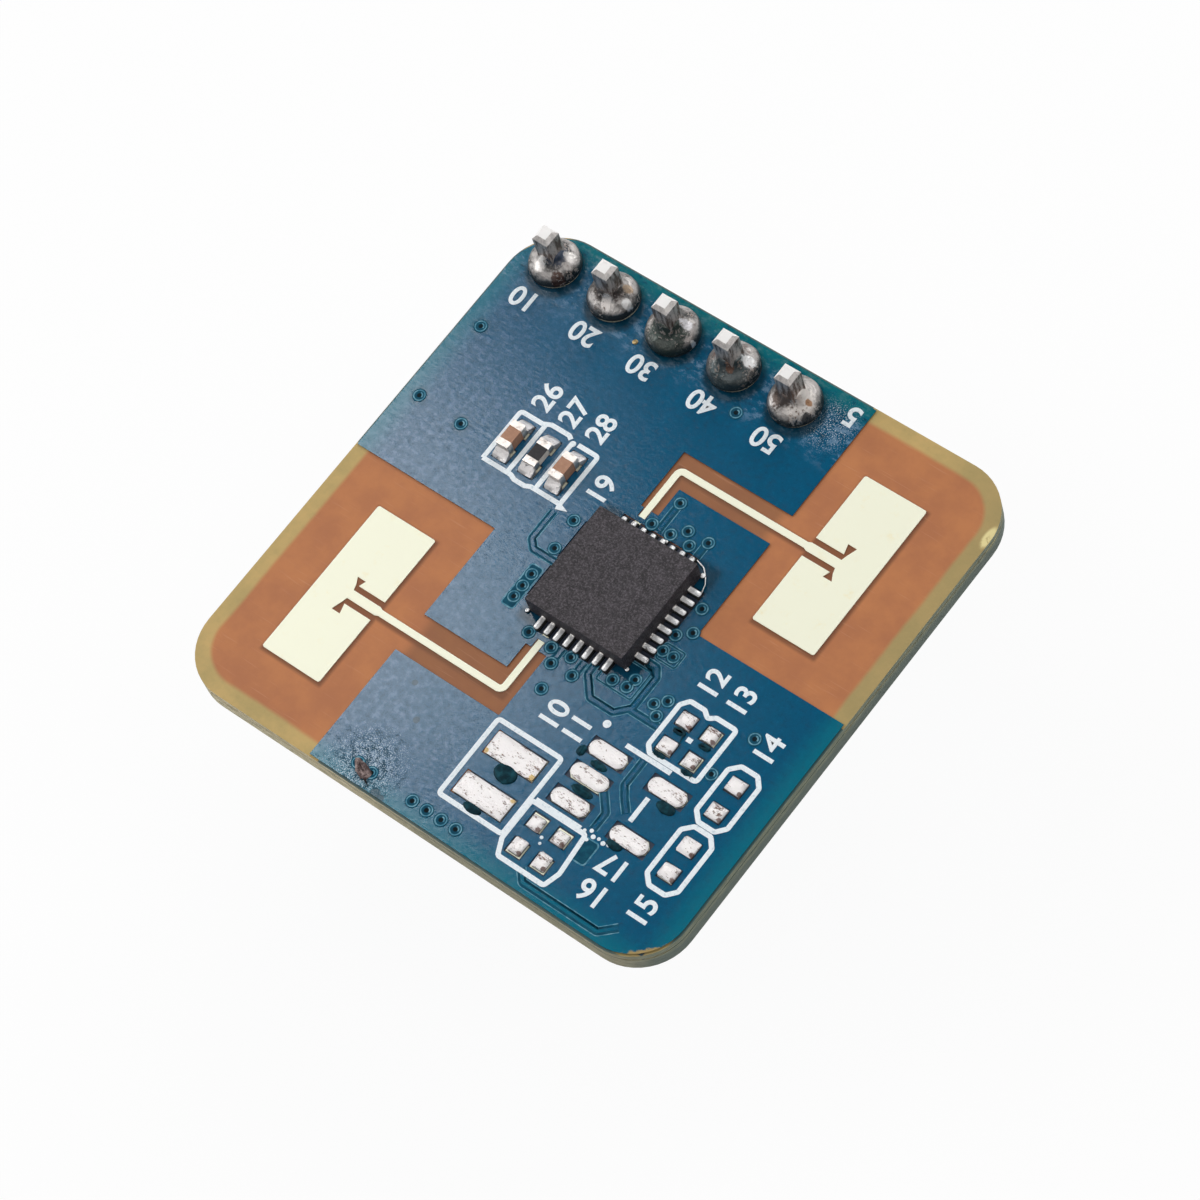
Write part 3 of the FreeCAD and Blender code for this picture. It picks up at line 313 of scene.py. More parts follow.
class Outline:
    """Flat outlines in mm on the board, worked out from lines and corners."""

    @staticmethod
    def circle(x: float, y: float, radius: float, corners: int = 20) -> Loop:
        """Gives a round outline."""
        turns = [2 * math.pi * i / corners for i in range(corners)]
        return [(x + radius * math.cos(t), y + radius * math.sin(t)) for t in turns]

    @staticmethod
    def box(x0: float, x1: float, y0: float, y1: float) -> Loop:
        """Gives the four corners of a rectangle."""
        return [(x0, y0), (x1, y0), (x1, y1), (x0, y1)]

    @staticmethod
    def rounded(points: Sequence[Pair], radius: float, closed: bool) -> Loop:
        """Rounds the corners of a line or a closed outline.

        Args:
            points: Corners in order.
            radius: Radius in mm.
            closed: Whether the last corner joins the first.

        Returns:
            The line with its corners rounded.
        """
        count = len(points)
        made: Loop = []
        for i, corner in enumerate(points):
            if not closed and i in (0, count - 1):
                made.append(corner)
                continue
            here = Vector(corner)
            back = Vector(points[i - 1]) - here
            ahead = Vector(points[(i + 1) % count]) - here
            half = back.angle(ahead) / 2
            longest = min(back.length * CORNER_SHARE, ahead.length * CORNER_SHARE)
            reach = min(radius / math.tan(half), longest)
            start, end = here + back.normalized() * reach, here + ahead.normalized() * reach
            for step in range(ARC_STEPS + 1):
                t = step / ARC_STEPS
                spot = start * (1 - t) ** 2 + here * 2 * t * (1 - t) + end * t ** 2
                made.append((spot.x, spot.y))
        return made

    @staticmethod
    def shifted(points: Sequence[Pair], distance: float, closed: bool) -> Loop:
        """Moves a line sideways by a distance, with mitred corners.

        Args:
            points: Corners in order.
            distance: Millimetres to the left of the direction of travel.
            closed: Whether the last corner joins the first.

        Returns:
            The moved line.
        """
        count = len(points)
        made: Loop = []
        for i, corner in enumerate(points):
            here = Vector(corner)
            before = Vector(points[i - 1]) if closed or i else None
            after = Vector(points[(i + 1) % count]) if closed or i < count - 1 else None
            ways = [(b - a).normalized() for a, b in ((before, here), (here, after)) if a and b]
            sides = [Vector((-w.y, w.x)) for w in ways]
            mean = sum(sides, Vector((0.0, 0.0))).normalized()
            spot = here + mean * distance / max(mean.dot(sides[0]), STEEPEST_MITRE)
            made.append((spot.x, spot.y))
        return made

    @classmethod
    def ribbon(cls, points: Sequence[Pair], width: float, closed: bool) -> list[Loop]:
        """Gives the outline of a line that has a width.

        Args:
            points: The middle line.
            width: Width in mm.
            closed: Whether the line is a ring.

        Returns:
            One loop for a line and two for a ring.
        """
        left = cls.shifted(points, width / 2, closed)
        right = cls.shifted(points, -width / 2, closed)
        return [left, right] if closed else [left + right[::-1]]

    @staticmethod
    def raise_up(name: str, loops: Sequence[Loop], height: float, soft: float = 0.0) -> Piece:
        """Fills flat outlines and gives them a height on the solder mask.

        Args:
            name: Name of the piece.
            loops: Outlines in mm; an inner one is a hole.
            height: Height in mm.
            soft: Width of the bevelled rim in mm.

        Returns:
            The mesh, with its place in it.
        """
        line = bpy.data.curves.new(name, "CURVE")
        line.dimensions, line.fill_mode = "2D", "BOTH"
        for loop in loops:
            spline = line.splines.new("POLY")
            spline.points.add(len(loop) - 1)
            flat = [value for x, y in loop for value in (x * MM, y * MM, 0.0, 1.0)]
            spline.points.foreach_set("co", flat)
            spline.use_cyclic_u = True
        line.extrude = max(height / 2 - soft, 0.0) * MM
        line.bevel_depth, line.bevel_resolution, line.offset = soft * MM, 1, -soft * MM
        shape = bpy.data.objects.new(name, line)
        bpy.context.scene.collection.objects.link(shape)
        Bench.pick(shape)
        bpy.ops.object.convert(target="MESH")
        shape = bpy.context.object
        shape.location = BOARD.point(0.0, 0.0, height / 2)
        return Bench.settle(shape, name)


class Wire:
    """A shader socket that takes part in sums; each sum adds its Math node."""

    def __init__(self, nodes: "Nodes", socket: bpy.types.NodeSocket) -> None:
        """Keeps the socket and the nodes it belongs to."""
        self.nodes = nodes
        self.socket = socket

    def _sum(self, operation: str, left: Any, right: Any = 0.0) -> "Wire":
        """Adds one Math node on two values."""
        return self.nodes.node("ShaderNodeMath", {"operation": operation}, {0: left, 1: right})

    def __add__(self, other: Any) -> "Wire":
        """Adds a value."""
        return self._sum("ADD", self, other)

    def __radd__(self, other: Any) -> "Wire":
        """Adds to a value."""
        return self._sum("ADD", other, self)

    def __sub__(self, other: Any) -> "Wire":
        """Takes a value away."""
        return self._sum("SUBTRACT", self, other)

    def __rsub__(self, other: Any) -> "Wire":
        """Is taken away from a value."""
        return self._sum("SUBTRACT", other, self)

    def __mul__(self, other: Any) -> "Wire":
        """Multiplies by a value."""
        return self._sum("MULTIPLY", self, other)

    def __rmul__(self, other: Any) -> "Wire":
        """Multiplies a value."""
        return self._sum("MULTIPLY", other, self)

    def __abs__(self) -> "Wire":
        """Drops the sign."""
        return self._sum("ABSOLUTE", self)

    def at_least(self, other: Any) -> "Wire":
        """Gives the larger of two values."""
        return self._sum("MAXIMUM", self, other)

    def root(self) -> "Wire":
        """Gives the square root."""
        return self._sum("SQRT", self)

    def rise(self, low: float, high: float) -> "Wire":
        """Rises softly from 0 to 1, or falls where high is the lower one.

        Args:
            low: Value that gives 0.
            high: Value that gives 1.

        Returns:
            A value from 0 to 1.
        """
        ends = (low, high, 0.0, 1.0) if low < high else (high, low, 1.0, 0.0)
        sockets = zip(("From Min", "From Max", "To Min", "To Max"), ends)
        settings = {"interpolation_type": "SMOOTHSTEP", "clamp": True}
        return self.nodes.node("ShaderNodeMapRange", settings, {"Value": self, **dict(sockets)})


class Nodes:
    """The nodes of a material or of the world."""

    def __init__(self, owner: Material | bpy.types.World, output: str) -> None:
        """Empties the tree and adds its output node.

        Args:
            owner: The material or world.
            output: Type of its output node.
        """
        owner.use_nodes = True
        self.tree = owner.node_tree
        self.tree.nodes.clear()
        self.output = self.tree.nodes.new(output)

    def node(
        self, kind: str, settings: dict[str, Any] | None = None,
        inputs: dict[Any, Any] | None = None, output: int | str = 0,
    ) -> Wire:
        """Adds a node of any kind.

        Args:
            kind: The node's type.
            settings: What is set on the node first.
            inputs: Values or wires by socket.
            output: The socket that is wanted.

        Returns:
            A wire from that socket.
        """
        made = self.tree.nodes.new(kind)
        for key, value in (settings or {}).items():
            setattr(made, key, value)
        self.feed(made, inputs or {})
        return Wire(self, made.outputs[output])

    def feed(self, node: bpy.types.Node, inputs: dict[Any, Any]) -> None:
        """Sets a node's sockets.

        Args:
            node: The node.
            inputs: Values or wires by socket.
        """
        for key, value in inputs.items():
            if isinstance(value, Wire):
                self.tree.links.new(value.socket, node.inputs[key])
            else:
                node.inputs[key].default_value = value

    def show(self, surface: Wire) -> None:
        """Links a shader to the output."""
        self.tree.links.new(surface.socket, self.output.inputs["Surface"])

    def camera_ray(self) -> Wire:
        """Gives 1 to rays from the camera and 0 to all others."""
        return self.node("ShaderNodeLightPath", output="Is Camera Ray")

    def blend(self, share: Wire, first: Wire, second: Wire) -> Wire:
        """Mixes two shaders; share 1 gives the second."""
        return self.node("ShaderNodeMixShader", {}, {0: share, 1: first, 2: second})


class Shader(Nodes):
    """One material and the nodes in it."""

    def __init__(self, name: str) -> None:
        """Starts a material with its surface node.

        Args:
            name: Name of the material.
        """
        self.material = bpy.data.materials.new(name)
        super().__init__(self.material, "ShaderNodeOutputMaterial")
        self.principled = self.tree.nodes.new("ShaderNodeBsdfPrincipled")
        self.surface = Wire(self, self.principled.outputs[0])
        self.show(self.surface)

    def moved(self, place: Wire, origin: Sequence[float]) -> Wire:
        """Takes an origin away from a place."""
        return self.node("ShaderNodeVectorMath", {"operation": "SUBTRACT"}, {0: place, 1: origin})

    def place(self) -> Wire:
        """Gives the place on the board in mm from the middle of its front face."""
        here = self.moved(self.node("ShaderNodeTexCoord", output="Object"), BOARD.middle)
        return self.node("ShaderNodeVectorMath", {"operation": "SCALE"}, {0: here, "Scale": 1 / MM})

    def axes(self, place: Wire) -> tuple[Wire, Wire, Wire]:
        """Splits a place into its three values."""
        return tuple(self.node("ShaderNodeSeparateXYZ", {}, {0: place}, i) for i in range(3))

    def facing(self, axis: int) -> Wire:
        """Gives one value of the surface's normal."""
        normal = self.node("ShaderNodeNewGeometry", output="Normal")
        return self.node("ShaderNodeSeparateXYZ", {}, {0: normal}, axis)

    def stretched(self, place: Wire, scale: Triple, turn: float = 0.0) -> Wire:
        """Stretches a pattern's place and turns it by degrees."""
        inputs = {"Vector": place, "Rotation": (0.0, 0.0, math.radians(turn)), "Scale": scale}
        return self.node("ShaderNodeMapping", {"vector_type": "POINT"}, inputs)

    def noise(self, place: Wire, scale: float, detail: float = 3.0, rough: float = 0.5) -> Wire:
        """Gives cloudy values round a half, scale being per mm."""
        inputs = {"Vector": place, "Scale": scale, "Detail": detail, "Roughness": rough}
        return self.node("ShaderNodeTexNoise", {}, inputs)

    def cells(self, place: Wire, scale: float) -> Wire:
        """Gives the distance to scattered points."""
        inputs = {"Vector": place, "Scale": scale}
        return self.node("ShaderNodeTexVoronoi", {"feature": "F1"}, inputs)

    def paint(self, colour: Wire | str, *layers: tuple[Any, Wire | str]) -> Wire:
        """Lays colours over one another.

        Args:
            colour: Hex code or wire of the lowest colour.
            layers: The share, and the hex code or wire, of each colour laid over it.

        Returns:
            The mixed colour.
        """
        below = tone(colour) if isinstance(colour, str) else colour
        for share, laid in layers:
            above = tone(laid) if isinstance(laid, str) else laid
            inputs = {0: share, 6: below, 7: above}
            below = self.node("ShaderNodeMix", {"data_type": "RGBA"}, inputs, 2)
        return below

    def near(self, place: Wire, x: float, y: float, radius: float, edge: float) -> Wire:
        """Gives 1 close to a point.

        Args:
            place: Place on the board in mm.
            x: The point along the pin row in mm.
            y: The point towards the header in mm.
            radius: Radius in mm up to which it is 1.
            edge: Width in mm over which it fades beyond that.

        Returns:
            A value from 0 to 1.
        """
        across, along, _ = self.axes(place)
        away = ((across - x) * (across - x) + (along - y) * (along - y)).root()
        return away.rise(radius + edge, radius)

    def within(self, place: Wire, box: Box, edge: float) -> Wire:
        """Gives 1 inside a rectangle.

        Args:
            place: Place on the board in mm.
            box: The rectangle's sides in mm.
            edge: Width in mm over which it fades outside.

        Returns:
            A value from 0 to 1.
        """
        across, along, _ = self.axes(place)
        x0, x1, y0, y1 = box
        wide = abs(across - (x0 + x1) / 2).rise((x1 - x0) / 2 + edge, (x1 - x0) / 2)
        high = abs(along - (y0 + y1) / 2).rise((y1 - y0) / 2 + edge, (y1 - y0) / 2)
        return wide * high

    def bump(self, height: Wire, strength: float, depth: float) -> Wire:
        """Turns a height pattern into a normal, with its depth in mm."""
        inputs = {"Height": height, "Strength": strength, "Distance": depth * MM}
        return self.node("ShaderNodeBump", {}, inputs)

    def finish(self, inputs: dict[str, Any]) -> Material:
        """Sets the surface's sockets to values or wires and gives the material."""
        self.feed(self.principled, inputs)
        return self.material


@dataclass(frozen=True)
class SolderMaskFinish:
    """Satin blue mask, painted paler towards the lower left as a painted sheen, teal at the rim."""

    name: str = "solder_mask_blue"
    deep: str = "#055375"
    pale: str = "#5d7590"
    rim: str = "#0b7283"
    speck: str = "#d3dfe8"
    stain: str = "#083f50"
    # Marks also bring painted shade round the header joints and the chip.
    marks: bool = True
    joints: tuple[float, ...] = (-8.48, -5.94, -3.40, -0.86, 1.68)
    chip: Box = (-1.2, 3.3, -2.25, 2.35)
    blotches: tuple[Pair, ...] = ((-9.3, 2.3), (-7.4, 2.2), (-9.2, 5.5))
    pits: tuple[Triple, ...] = (
        (-1.75, -7.09, 0.09), (-2.64, -6.08, 0.08), (-1.25, -9.84, 0.16), (-1.0, -9.9, 0.12),
        (-2.2, -9.2, 0.1),
    )

    def build(self) -> Material:
        """Builds the material.

        Returns:
            The material.
        """
        s = Shader(self.name)
        place = s.place()
        x, y, _ = s.axes(place)
        cloud = s.noise(place, 0.45, 4.0, 0.6)
        fine = s.noise(place, 4.5, 5.0, 0.65)
        grain = s.noise(place, 22.0, 3.0, 0.6)
        # The mask is painted paler towards the lower left: a painted sheen. The pale and dark
        # flecks laid only there are painted breaks in that sheen.
        lean = (0.0 - x) * 0.10 + (0.0 - y) * 0.05 + (cloud - 0.5) * 1.2
        sheen_side = lean.rise(-0.2, 1.2)
        mottle = (fine - 0.5) * 0.9 + (grain - 0.5) * 0.6
        sheen_flecks = (grain * 0.55 + fine * 0.45).rise(0.50, 0.41)
        edge = abs(x).at_least(abs(y))
        colour = s.paint(
            self.deep,
            (sheen_side * 0.3, self.pale),
            (mottle.rise(0.0, 0.3) * 0.22, "#1f86ac"),
            (fine.rise(0.48, 0.66) * sheen_side * 0.3, "#8d9cc0"),
            ((0.0 - mottle).rise(0.0, 0.3) * 0.7, "#023650"),
            (sheen_flecks * sheen_side * 0.5, "#1c4a64"),
            ((edge + (fine - 0.5) * 0.5).rise(8.9, 10.0) * 0.7, self.rim),
        )
        weave = s.noise(s.stretched(place, (1.0, 3.2, 1.0), 40.0), 3.4, 3.0, 0.55)
        height = fine * 0.5 + grain * 0.25 + weave * 0.5
        rough = fine.rise(0.3, 0.75) * 0.03 + sheen_flecks * 0.12 + 0.06
        if self.marks:
            colour, height, dull = self._marks_and_shade(s, place, colour, height, fine, grain)
            rough = rough + dull
        return s.finish({
            "Base Color": colour,
            "Roughness": rough,
            "Specular IOR Level": 0.27,
            "Normal": s.bump(height, 0.3, 0.012),
        })

    def _marks_and_shade(
        self, s: Shader, place: Wire, colour: Wire, height: Wire, fine: Wire, grain: Wire
    ) -> tuple[Wire, Wire, Wire]:
        """Adds flux round the header, specks and the worn patch at the lower edge, and painted
        shade round the header joints and the chip.

        Args:
            s: The shader.
            place: Place on the board in mm.
            colour: Colour of the clean mask.
            height: Height pattern of the clean mask.
            fine: Fine noise.
            grain: Finer noise.

        Returns:
            The new colour, the new height and what is added to the roughness.
        """
        x, y, _ = s.axes(place)
        worn = s.near(place, -2.1, -9.3, 0.2, 2.3)
        flaked = (worn * 0.7 + (0.5 - fine) * 3.4 + (0.5 - grain) * 2.4).rise(0.62, 0.95)
        flaked = flaked * worn.rise(0.1, 0.4)
        chalk = (worn * 0.8 + (grain - 0.5) * 4.2 + (fine - 0.5) * 1.6).rise(0.72, 1.0)
        chalk = chalk * worn.rise(0.2, 0.5)
        colour = s.paint(colour, (flaked * 0.85, "#06394b"), (chalk * 0.75, "#b4c6d4"))
        for spot_x, spot_y, radius in self.pits:
            pit = s.near(place, spot_x, spot_y, radius, 0.06) * 0.6 + (grain - 0.5) * 1.2
            colour = s.paint(colour, (pit.rise(0.25, 0.5) * 0.8, "#093a4b"))
        dots = s.cells(place, 7.0).rise(0.2, 0.05)
        spatter = s.near(place, 3.1, 8.75, 0.3, 1.0)
        band = y.rise(7.0, 8.0)
        swirl = s.noise(s.stretched(place, (1.0, 1.6, 1.0), 30.0), 1.9, 5.0, 0.7)
        colour = s.paint(
            colour,
            (spatter * (grain + dots * 0.5).rise(0.53, 0.64), self.speck),
            (band * swirl.rise(0.50, 0.64) * 0.7, "#7595b0"),
            (band * swirl.rise(0.46, 0.3) * 0.85, "#03344a"),
        )
        # A dark ring round each joint, set off to the lower right: painted shadow of the joint.
        for joint in self.joints:
            ring = s.near(place, joint + 0.14, 8.56, 0.95, 0.22)
            colour = s.paint(colour, (ring * 0.7, "#042631"))
        # The dark rectangle round the chip is painted shade.
        colour = s.paint(
            colour,
            (s.within(place, self.chip, 0.3) * 0.6, "#021c26"),
            ((x - y + (fine - 0.5) * 0.5).rise(18.52, 18.62), "#a58f60"),
            (y.rise(8.9, 9.9) * swirl.rise(0.3, 0.6) * 0.7, "#0d6e6c"),
        )
        for spot_x, spot_y in self.blotches:
            blotch = s.near(place, spot_x, spot_y, 0.16, 0.3)
            colour = s.paint(colour, (blotch * 0.6, self.stain))
        return colour, height + band * swirl * 1.6 + chalk * worn, flaked * 0.25


@dataclass(frozen=True)
class GapFinish:
    """Mask over bare laminate, darker and more teal than over copper."""

    name: str = "solder_mask_gap"
    colour: str = "#0b4359"
    pale: str = "#17586d"

    def build(self) -> Material:
        """Builds the material.

        Returns:
            The material.
        """
        s = Shader(self.name)
        fine = s.noise(s.place(), 5.0, 4.0, 0.6)
        return s.finish({
            "Base Color": s.paint(self.colour, (fine.rise(0.35, 0.75), self.pale)),
            "Roughness": 0.5,
            "Specular IOR Level": 0.1,
            "Normal": s.bump(fine, 0.4, 0.01),
        })


@dataclass(frozen=True)
class LaminateFinish:
    """Bare laminate: orange-brown over the inner copper, olive at the rim, fibres at the sides."""

    name: str = "bare_laminate"
    warm: str = "#c07c4d"
    rim: str = "#c8a96c"
    fibre_light: str = "#e6dab8"
    fibre_dark: str = "#8f8764"
    plane_half: float = 9.46
    plane_rounding: float = 1.5
    plane_edge: float = 0.10
    shade_shift: Triple = (0.05, -0.07, 0.0)
    patches: tuple[Box, ...] = (
        (5.20, 7.67, 1.68, 7.80), (-7.82, -5.35, -7.77, -1.67), (-0.20, 5.20, 4.65, 4.88),
        (-0.20, 0.05, 2.65, 4.88), (-5.35, 0.05, -4.86, -4.63), (-0.20, 0.05, -4.86, -2.65),
    )
    openings: tuple[Box, ...] = (
        (0.85, 9.3, -9.4, -1.6), (-1.62, 3.47, -2.50, 2.50), (-6.1, -2.6, 1.5, 3.75),
        (-9.7, 2.9, 7.6, 9.8),
    )
    corridors: tuple[Box, ...] = (
        (-0.35, 3.5, 4.2, 5.2), (-0.35, 0.3, 2.6, 5.2), (-3.4, 0.4, -5.4, -4.1),
        (-0.4, 0.3, -5.4, -2.6),
    )
    windows: tuple[Box, ...] = ((3.95, 10.5, 0.15, 10.5), (-10.5, -3.6, -10.5, -0.2))

    def build(self) -> Material:
        """Builds the material.

        Returns:
            The material.
        """
        s = Shader(self.name)
        place = s.place()
        x, y, z = s.axes(place)
        cloud = s.noise(place, 0.7, 4.0, 0.6)
        fine = s.noise(place, 6.0, 4.0, 0.6)
        inner = self.plane_half - self.plane_rounding
        over_x, over_y = (abs(x) - inner).at_least(0.0), (abs(y) - inner).at_least(0.0)
        reach = (over_x * over_x + over_y * over_y).root() + (cloud - 0.5) * 0.12
        covered = reach.rise(
            self.plane_rounding + self.plane_edge, self.plane_rounding - self.plane_edge
        )
        scratch = s.noise(s.stretched(place, (0.6, 14.0, 1.0), 38.0), 1.0, 2.0, 0.5)
        face = s.paint(
            self.warm,
            (cloud.rise(0.3, 0.7), "#b17049"),
            (self._shade(s, place, self.patches, 0.16) * 0.75, "#6d4029"),
            (self._shade(s, place, self.corridors, 0.5) * 0.6, "#7a5238"),
            (scratch.rise(0.62, 0.75) * 0.22, "#d09a76"),
        )
        rim = s.paint(
            self.rim,
            (cloud.rise(0.3, 0.7) * 0.6 + fine.rise(0.4, 0.7) * 0.15, "#a89660"),
            (x.rise(6.0, 9.9) * 0.5, "#94855a"),
        )
        edge = abs(x).at_least(abs(y)).rise(9.80, 9.90)
        bare = s.within(place, self.windows[0], 0.05) + s.within(place, self.windows[1], 0.05)
        chip = s.near(s.stretched(place, (1.0, 0.42, 1.0)), 9.88, 3.4, 0.12, 0.1)
        wall = abs(s.facing(2)).rise(0.6, 0.3)
        threads = s.noise(s.stretched(place, (1.4, 1.4, 26.0)), 1.3, 4.0, 0.7)
        lower = (z + (threads - 0.5) * 0.2).rise(-0.38, -0.6)
        shaded = s.paint("#5f6d63", (threads.rise(0.3, 0.65), "#949a82"), (lower * 0.7, "#56696a"))
        side = s.paint(
            self.fibre_dark,
            (threads.rise(0.35, 0.62), self.fibre_light),
            ((x + y * 0.5).rise(-7.5, -3.0) * 0.5, "#6f7566"),
            (s.facing(0).rise(0.3, 0.9) * 0.9, shaded),
        )
        colour = s.paint(
            rim,
            (covered, face),
            (self._shade(s, place, self.openings, 0.05) * 0.9, "#0a3f58"),
            (edge * (1.0 - bare) * 0.85, "#1b5560"),
            (chip * fine.rise(0.3, 0.5), "#e6d79a"),
            (wall, side),
        )
        return s.finish({
            "Base Color": colour,
            "Roughness": wall * 0.25 + 0.42,
            "Specular IOR Level": 0.35,
            "Normal": s.bump(fine * 0.5 + threads * wall * 3.0, 0.4, 0.02),
        })

    def _shade(self, s: Shader, place: Wire, boxes: Sequence[Box], edge: float) -> Wire:
        """Gives the soft shade that foil and mask throw on the copper below the laminate.

        Args:
            s: The shader.
            place: Place on the board in mm.
            boxes: Rectangles that throw shade, in mm.
            edge: Width over which the shade fades in mm.

        Returns:
            1 in full shade and 0 outside.
        """
        moved = s.moved(place, self.shade_shift)
        whole, *parts = [s.within(moved, box, edge) for box in boxes]
        for part in parts:
            whole = whole.at_least(part)
        return whole


@dataclass(frozen=True)
class MetalFinish:
    """A metal with cloudy tarnish and a grain."""

    name: str
    bright: str
    dull: str
    spread: Pair = (0.45, 0.7)
    scale: float = 3.0
    rough: float = 0.3
    rough_more: float = 0.2
    metallic: float = 1.0
    depth: float = 0.01

    def build(self) -> Material:
        """Builds the material.

        Returns:
            The material.
        """
        s = Shader(self.name)
        place = s.place()
        cloud = s.noise(place, self.scale, 5.0, 0.6)
        grain = s.noise(place, self.scale * 6, 3.0, 0.6)
        tarnish = (cloud * 0.8 + grain * 0.2).rise(*self.spread)
        return s.finish({
            "Base Color": s.paint(self.bright, (tarnish, self.dull)),
            "Roughness": tarnish * self.rough_more + self.rough,
            "Metallic": self.metallic,
            "Normal": s.bump(cloud * 0.4 + grain * 0.6, 0.5, self.depth),
        })


@dataclass(frozen=True)
class SolderFinish:
    """Solder: bright ridges, dark hollows and brown flux, with painted shade on its steep sides."""

    name: str
    bright: str = "#fbf7f6"
    hollow: str = "#4a4c52"
    flux: str = "#7a5a48"
    scale: float = 2.2
    hollow_share: float = 0.5
    flux_share: float = 0.4
    stretch: Triple = (1.0, 1.0, 1.0)
    depth: float = 0.05
    metallic: float = 0.6
    slope_shade: str = "#6a6664"
    slope_shade_share: float = 0.4
    spots: tuple[tuple[float, float, float, str], ...] = ()

    def build(self) -> Material:
        """Builds the material.

        Returns:
            The material.
        """
        s = Shader(self.name)
        place = s.place()
        spot = s.stretched(place, self.stretch, 25.0)
        cloud = s.noise(spot, self.scale, 4.0, 0.6)
        grain = s.noise(spot, self.scale * 5, 4.0, 0.65)
        stain = s.noise(place, self.scale * 0.8 + 0.31, 3.0, 0.6)
        hollow, flux = self.hollow_share, self.flux_share
        dark = (cloud * 0.75 + grain * 0.25).rise(0.62 - hollow * 0.2, 0.72 - hollow * 0.12)
        brown = (stain * 0.7 + grain * 0.3).rise(0.68 - flux * 0.2, 0.78 - flux * 0.15)
        # Steep sides, found by the normal, are painted darker: painted shade.
        side = (s.facing(2) + (grain - 0.5) * 0.5).rise(0.62, 0.3)
        colour = s.paint(
            self.bright,
            (dark, self.hollow), (brown * 0.8, self.flux), (side * self.slope_shade_share, self.slope_shade),
        )
        for x, y, radius, shade in self.spots:
            mark = s.near(place, x, y, radius * 0.4, radius * 1.3)
            mark = mark + (cloud - 0.5) * 1.1 + (grain - 0.5) * 1.6
            colour = s.paint(colour, (mark.rise(0.15, 0.65) * 0.85, shade))
        return s.finish({
            "Base Color": colour,
            "Roughness": dark * 0.15 + grain * 0.12 + 0.24,
            "Metallic": self.metallic - brown * 0.4,
            "Normal": s.bump(cloud * 0.6 + grain * 0.4, 0.7, self.depth),
        })


@dataclass(frozen=True)
class PinFinish:
    """Plated pin: pale at the cut tip on the faces that lean up and towards the upper left, a
    painted highlight, tarnished brown-grey along its sides.
    """

    name: str = "plated_pin"
    tip: str = "#f8f6f4"
    side: str = "#d6cac3"
    stain: str = "#6d5a50"

    def build(self) -> Material:
        """Builds the material.

        Returns:
            The material.
        """
        s = Shader(self.name)
        place = s.place()
        height = s.axes(place)[2]
        streak = s.noise(s.stretched(place, (4.0, 4.0, 0.8)), 1.6, 4.0, 0.6)
        fine = s.noise(place, 9.0, 3.0, 0.6)
        # The tip is pale only where it faces up and to the upper left: a painted highlight.
        toward_light = s.facing(2) * 0.87 + (s.facing(1) - s.facing(0)) * 0.35
        top = (height + (fine - 0.5) * 0.2).rise(1.80, 1.86) * toward_light.rise(0.1, 0.6)
        colour = s.paint(
            self.side,
            ((streak * 0.8 + fine * 0.2).rise(0.42, 0.6), self.stain),
            (top.at_least(height.rise(-1.0, -1.2)), self.tip),
        )
        return s.finish({
            "Base Color": colour,
            "Roughness": fine * 0.15 + 0.28,
            "Metallic": 0.7 - top * 0.5,
            "Normal": s.bump(fine, 0.4, 0.01),
        })


@dataclass(frozen=True)
class MouldedFinish:
    """Moulding compound, ceramic or plastic with a speckle and a fine bump."""

    name: str
    base: str
    speckle: str
    scale: float = 9.0
    share: float = 0.5
    rough: float = 0.55
    depth: float = 0.015

    def build(self) -> Material:
        """Builds the material.

        Returns:
            The material.
        """
        s = Shader(self.name)
        place = s.place()
        grain = s.noise(place, self.scale, 5.0, 0.7)
        cloud = s.noise(place, self.scale * 0.15, 3.0, 0.5)
        pits = s.cells(place, self.scale * 0.9).rise(0.28, 0.08)
        colour = s.paint(
            self.base,
            (grain.rise(0.42, 0.68) * self.share, self.speckle),
            (cloud.rise(0.4, 0.7) * 0.12, self.speckle),
        )
        return s.finish({
            "Base Color": colour,
            "Roughness": grain * 0.2 + self.rough,
            "Normal": s.bump(grain - pits * 0.6, 0.7, self.depth),
        })


@dataclass(frozen=True)
class InkFinish:
    """White print, thin in places."""

    name: str = "print_ink"
    base: str = "#f0f7fb"
    thin: str = "#a9bfcc"

    def build(self) -> Material:
        """Builds the material.

        Returns:
            The material.
        """
        s = Shader(self.name)
        grain = s.noise(s.place(), 9.0, 4.0, 0.65)
        return s.finish({
            "Base Color": s.paint(self.base, (grain.rise(0.5, 0.75) * 0.7, self.thin)),
            "Roughness": 0.6,
            "Normal": s.bump(grain, 0.5, 0.01),
        })


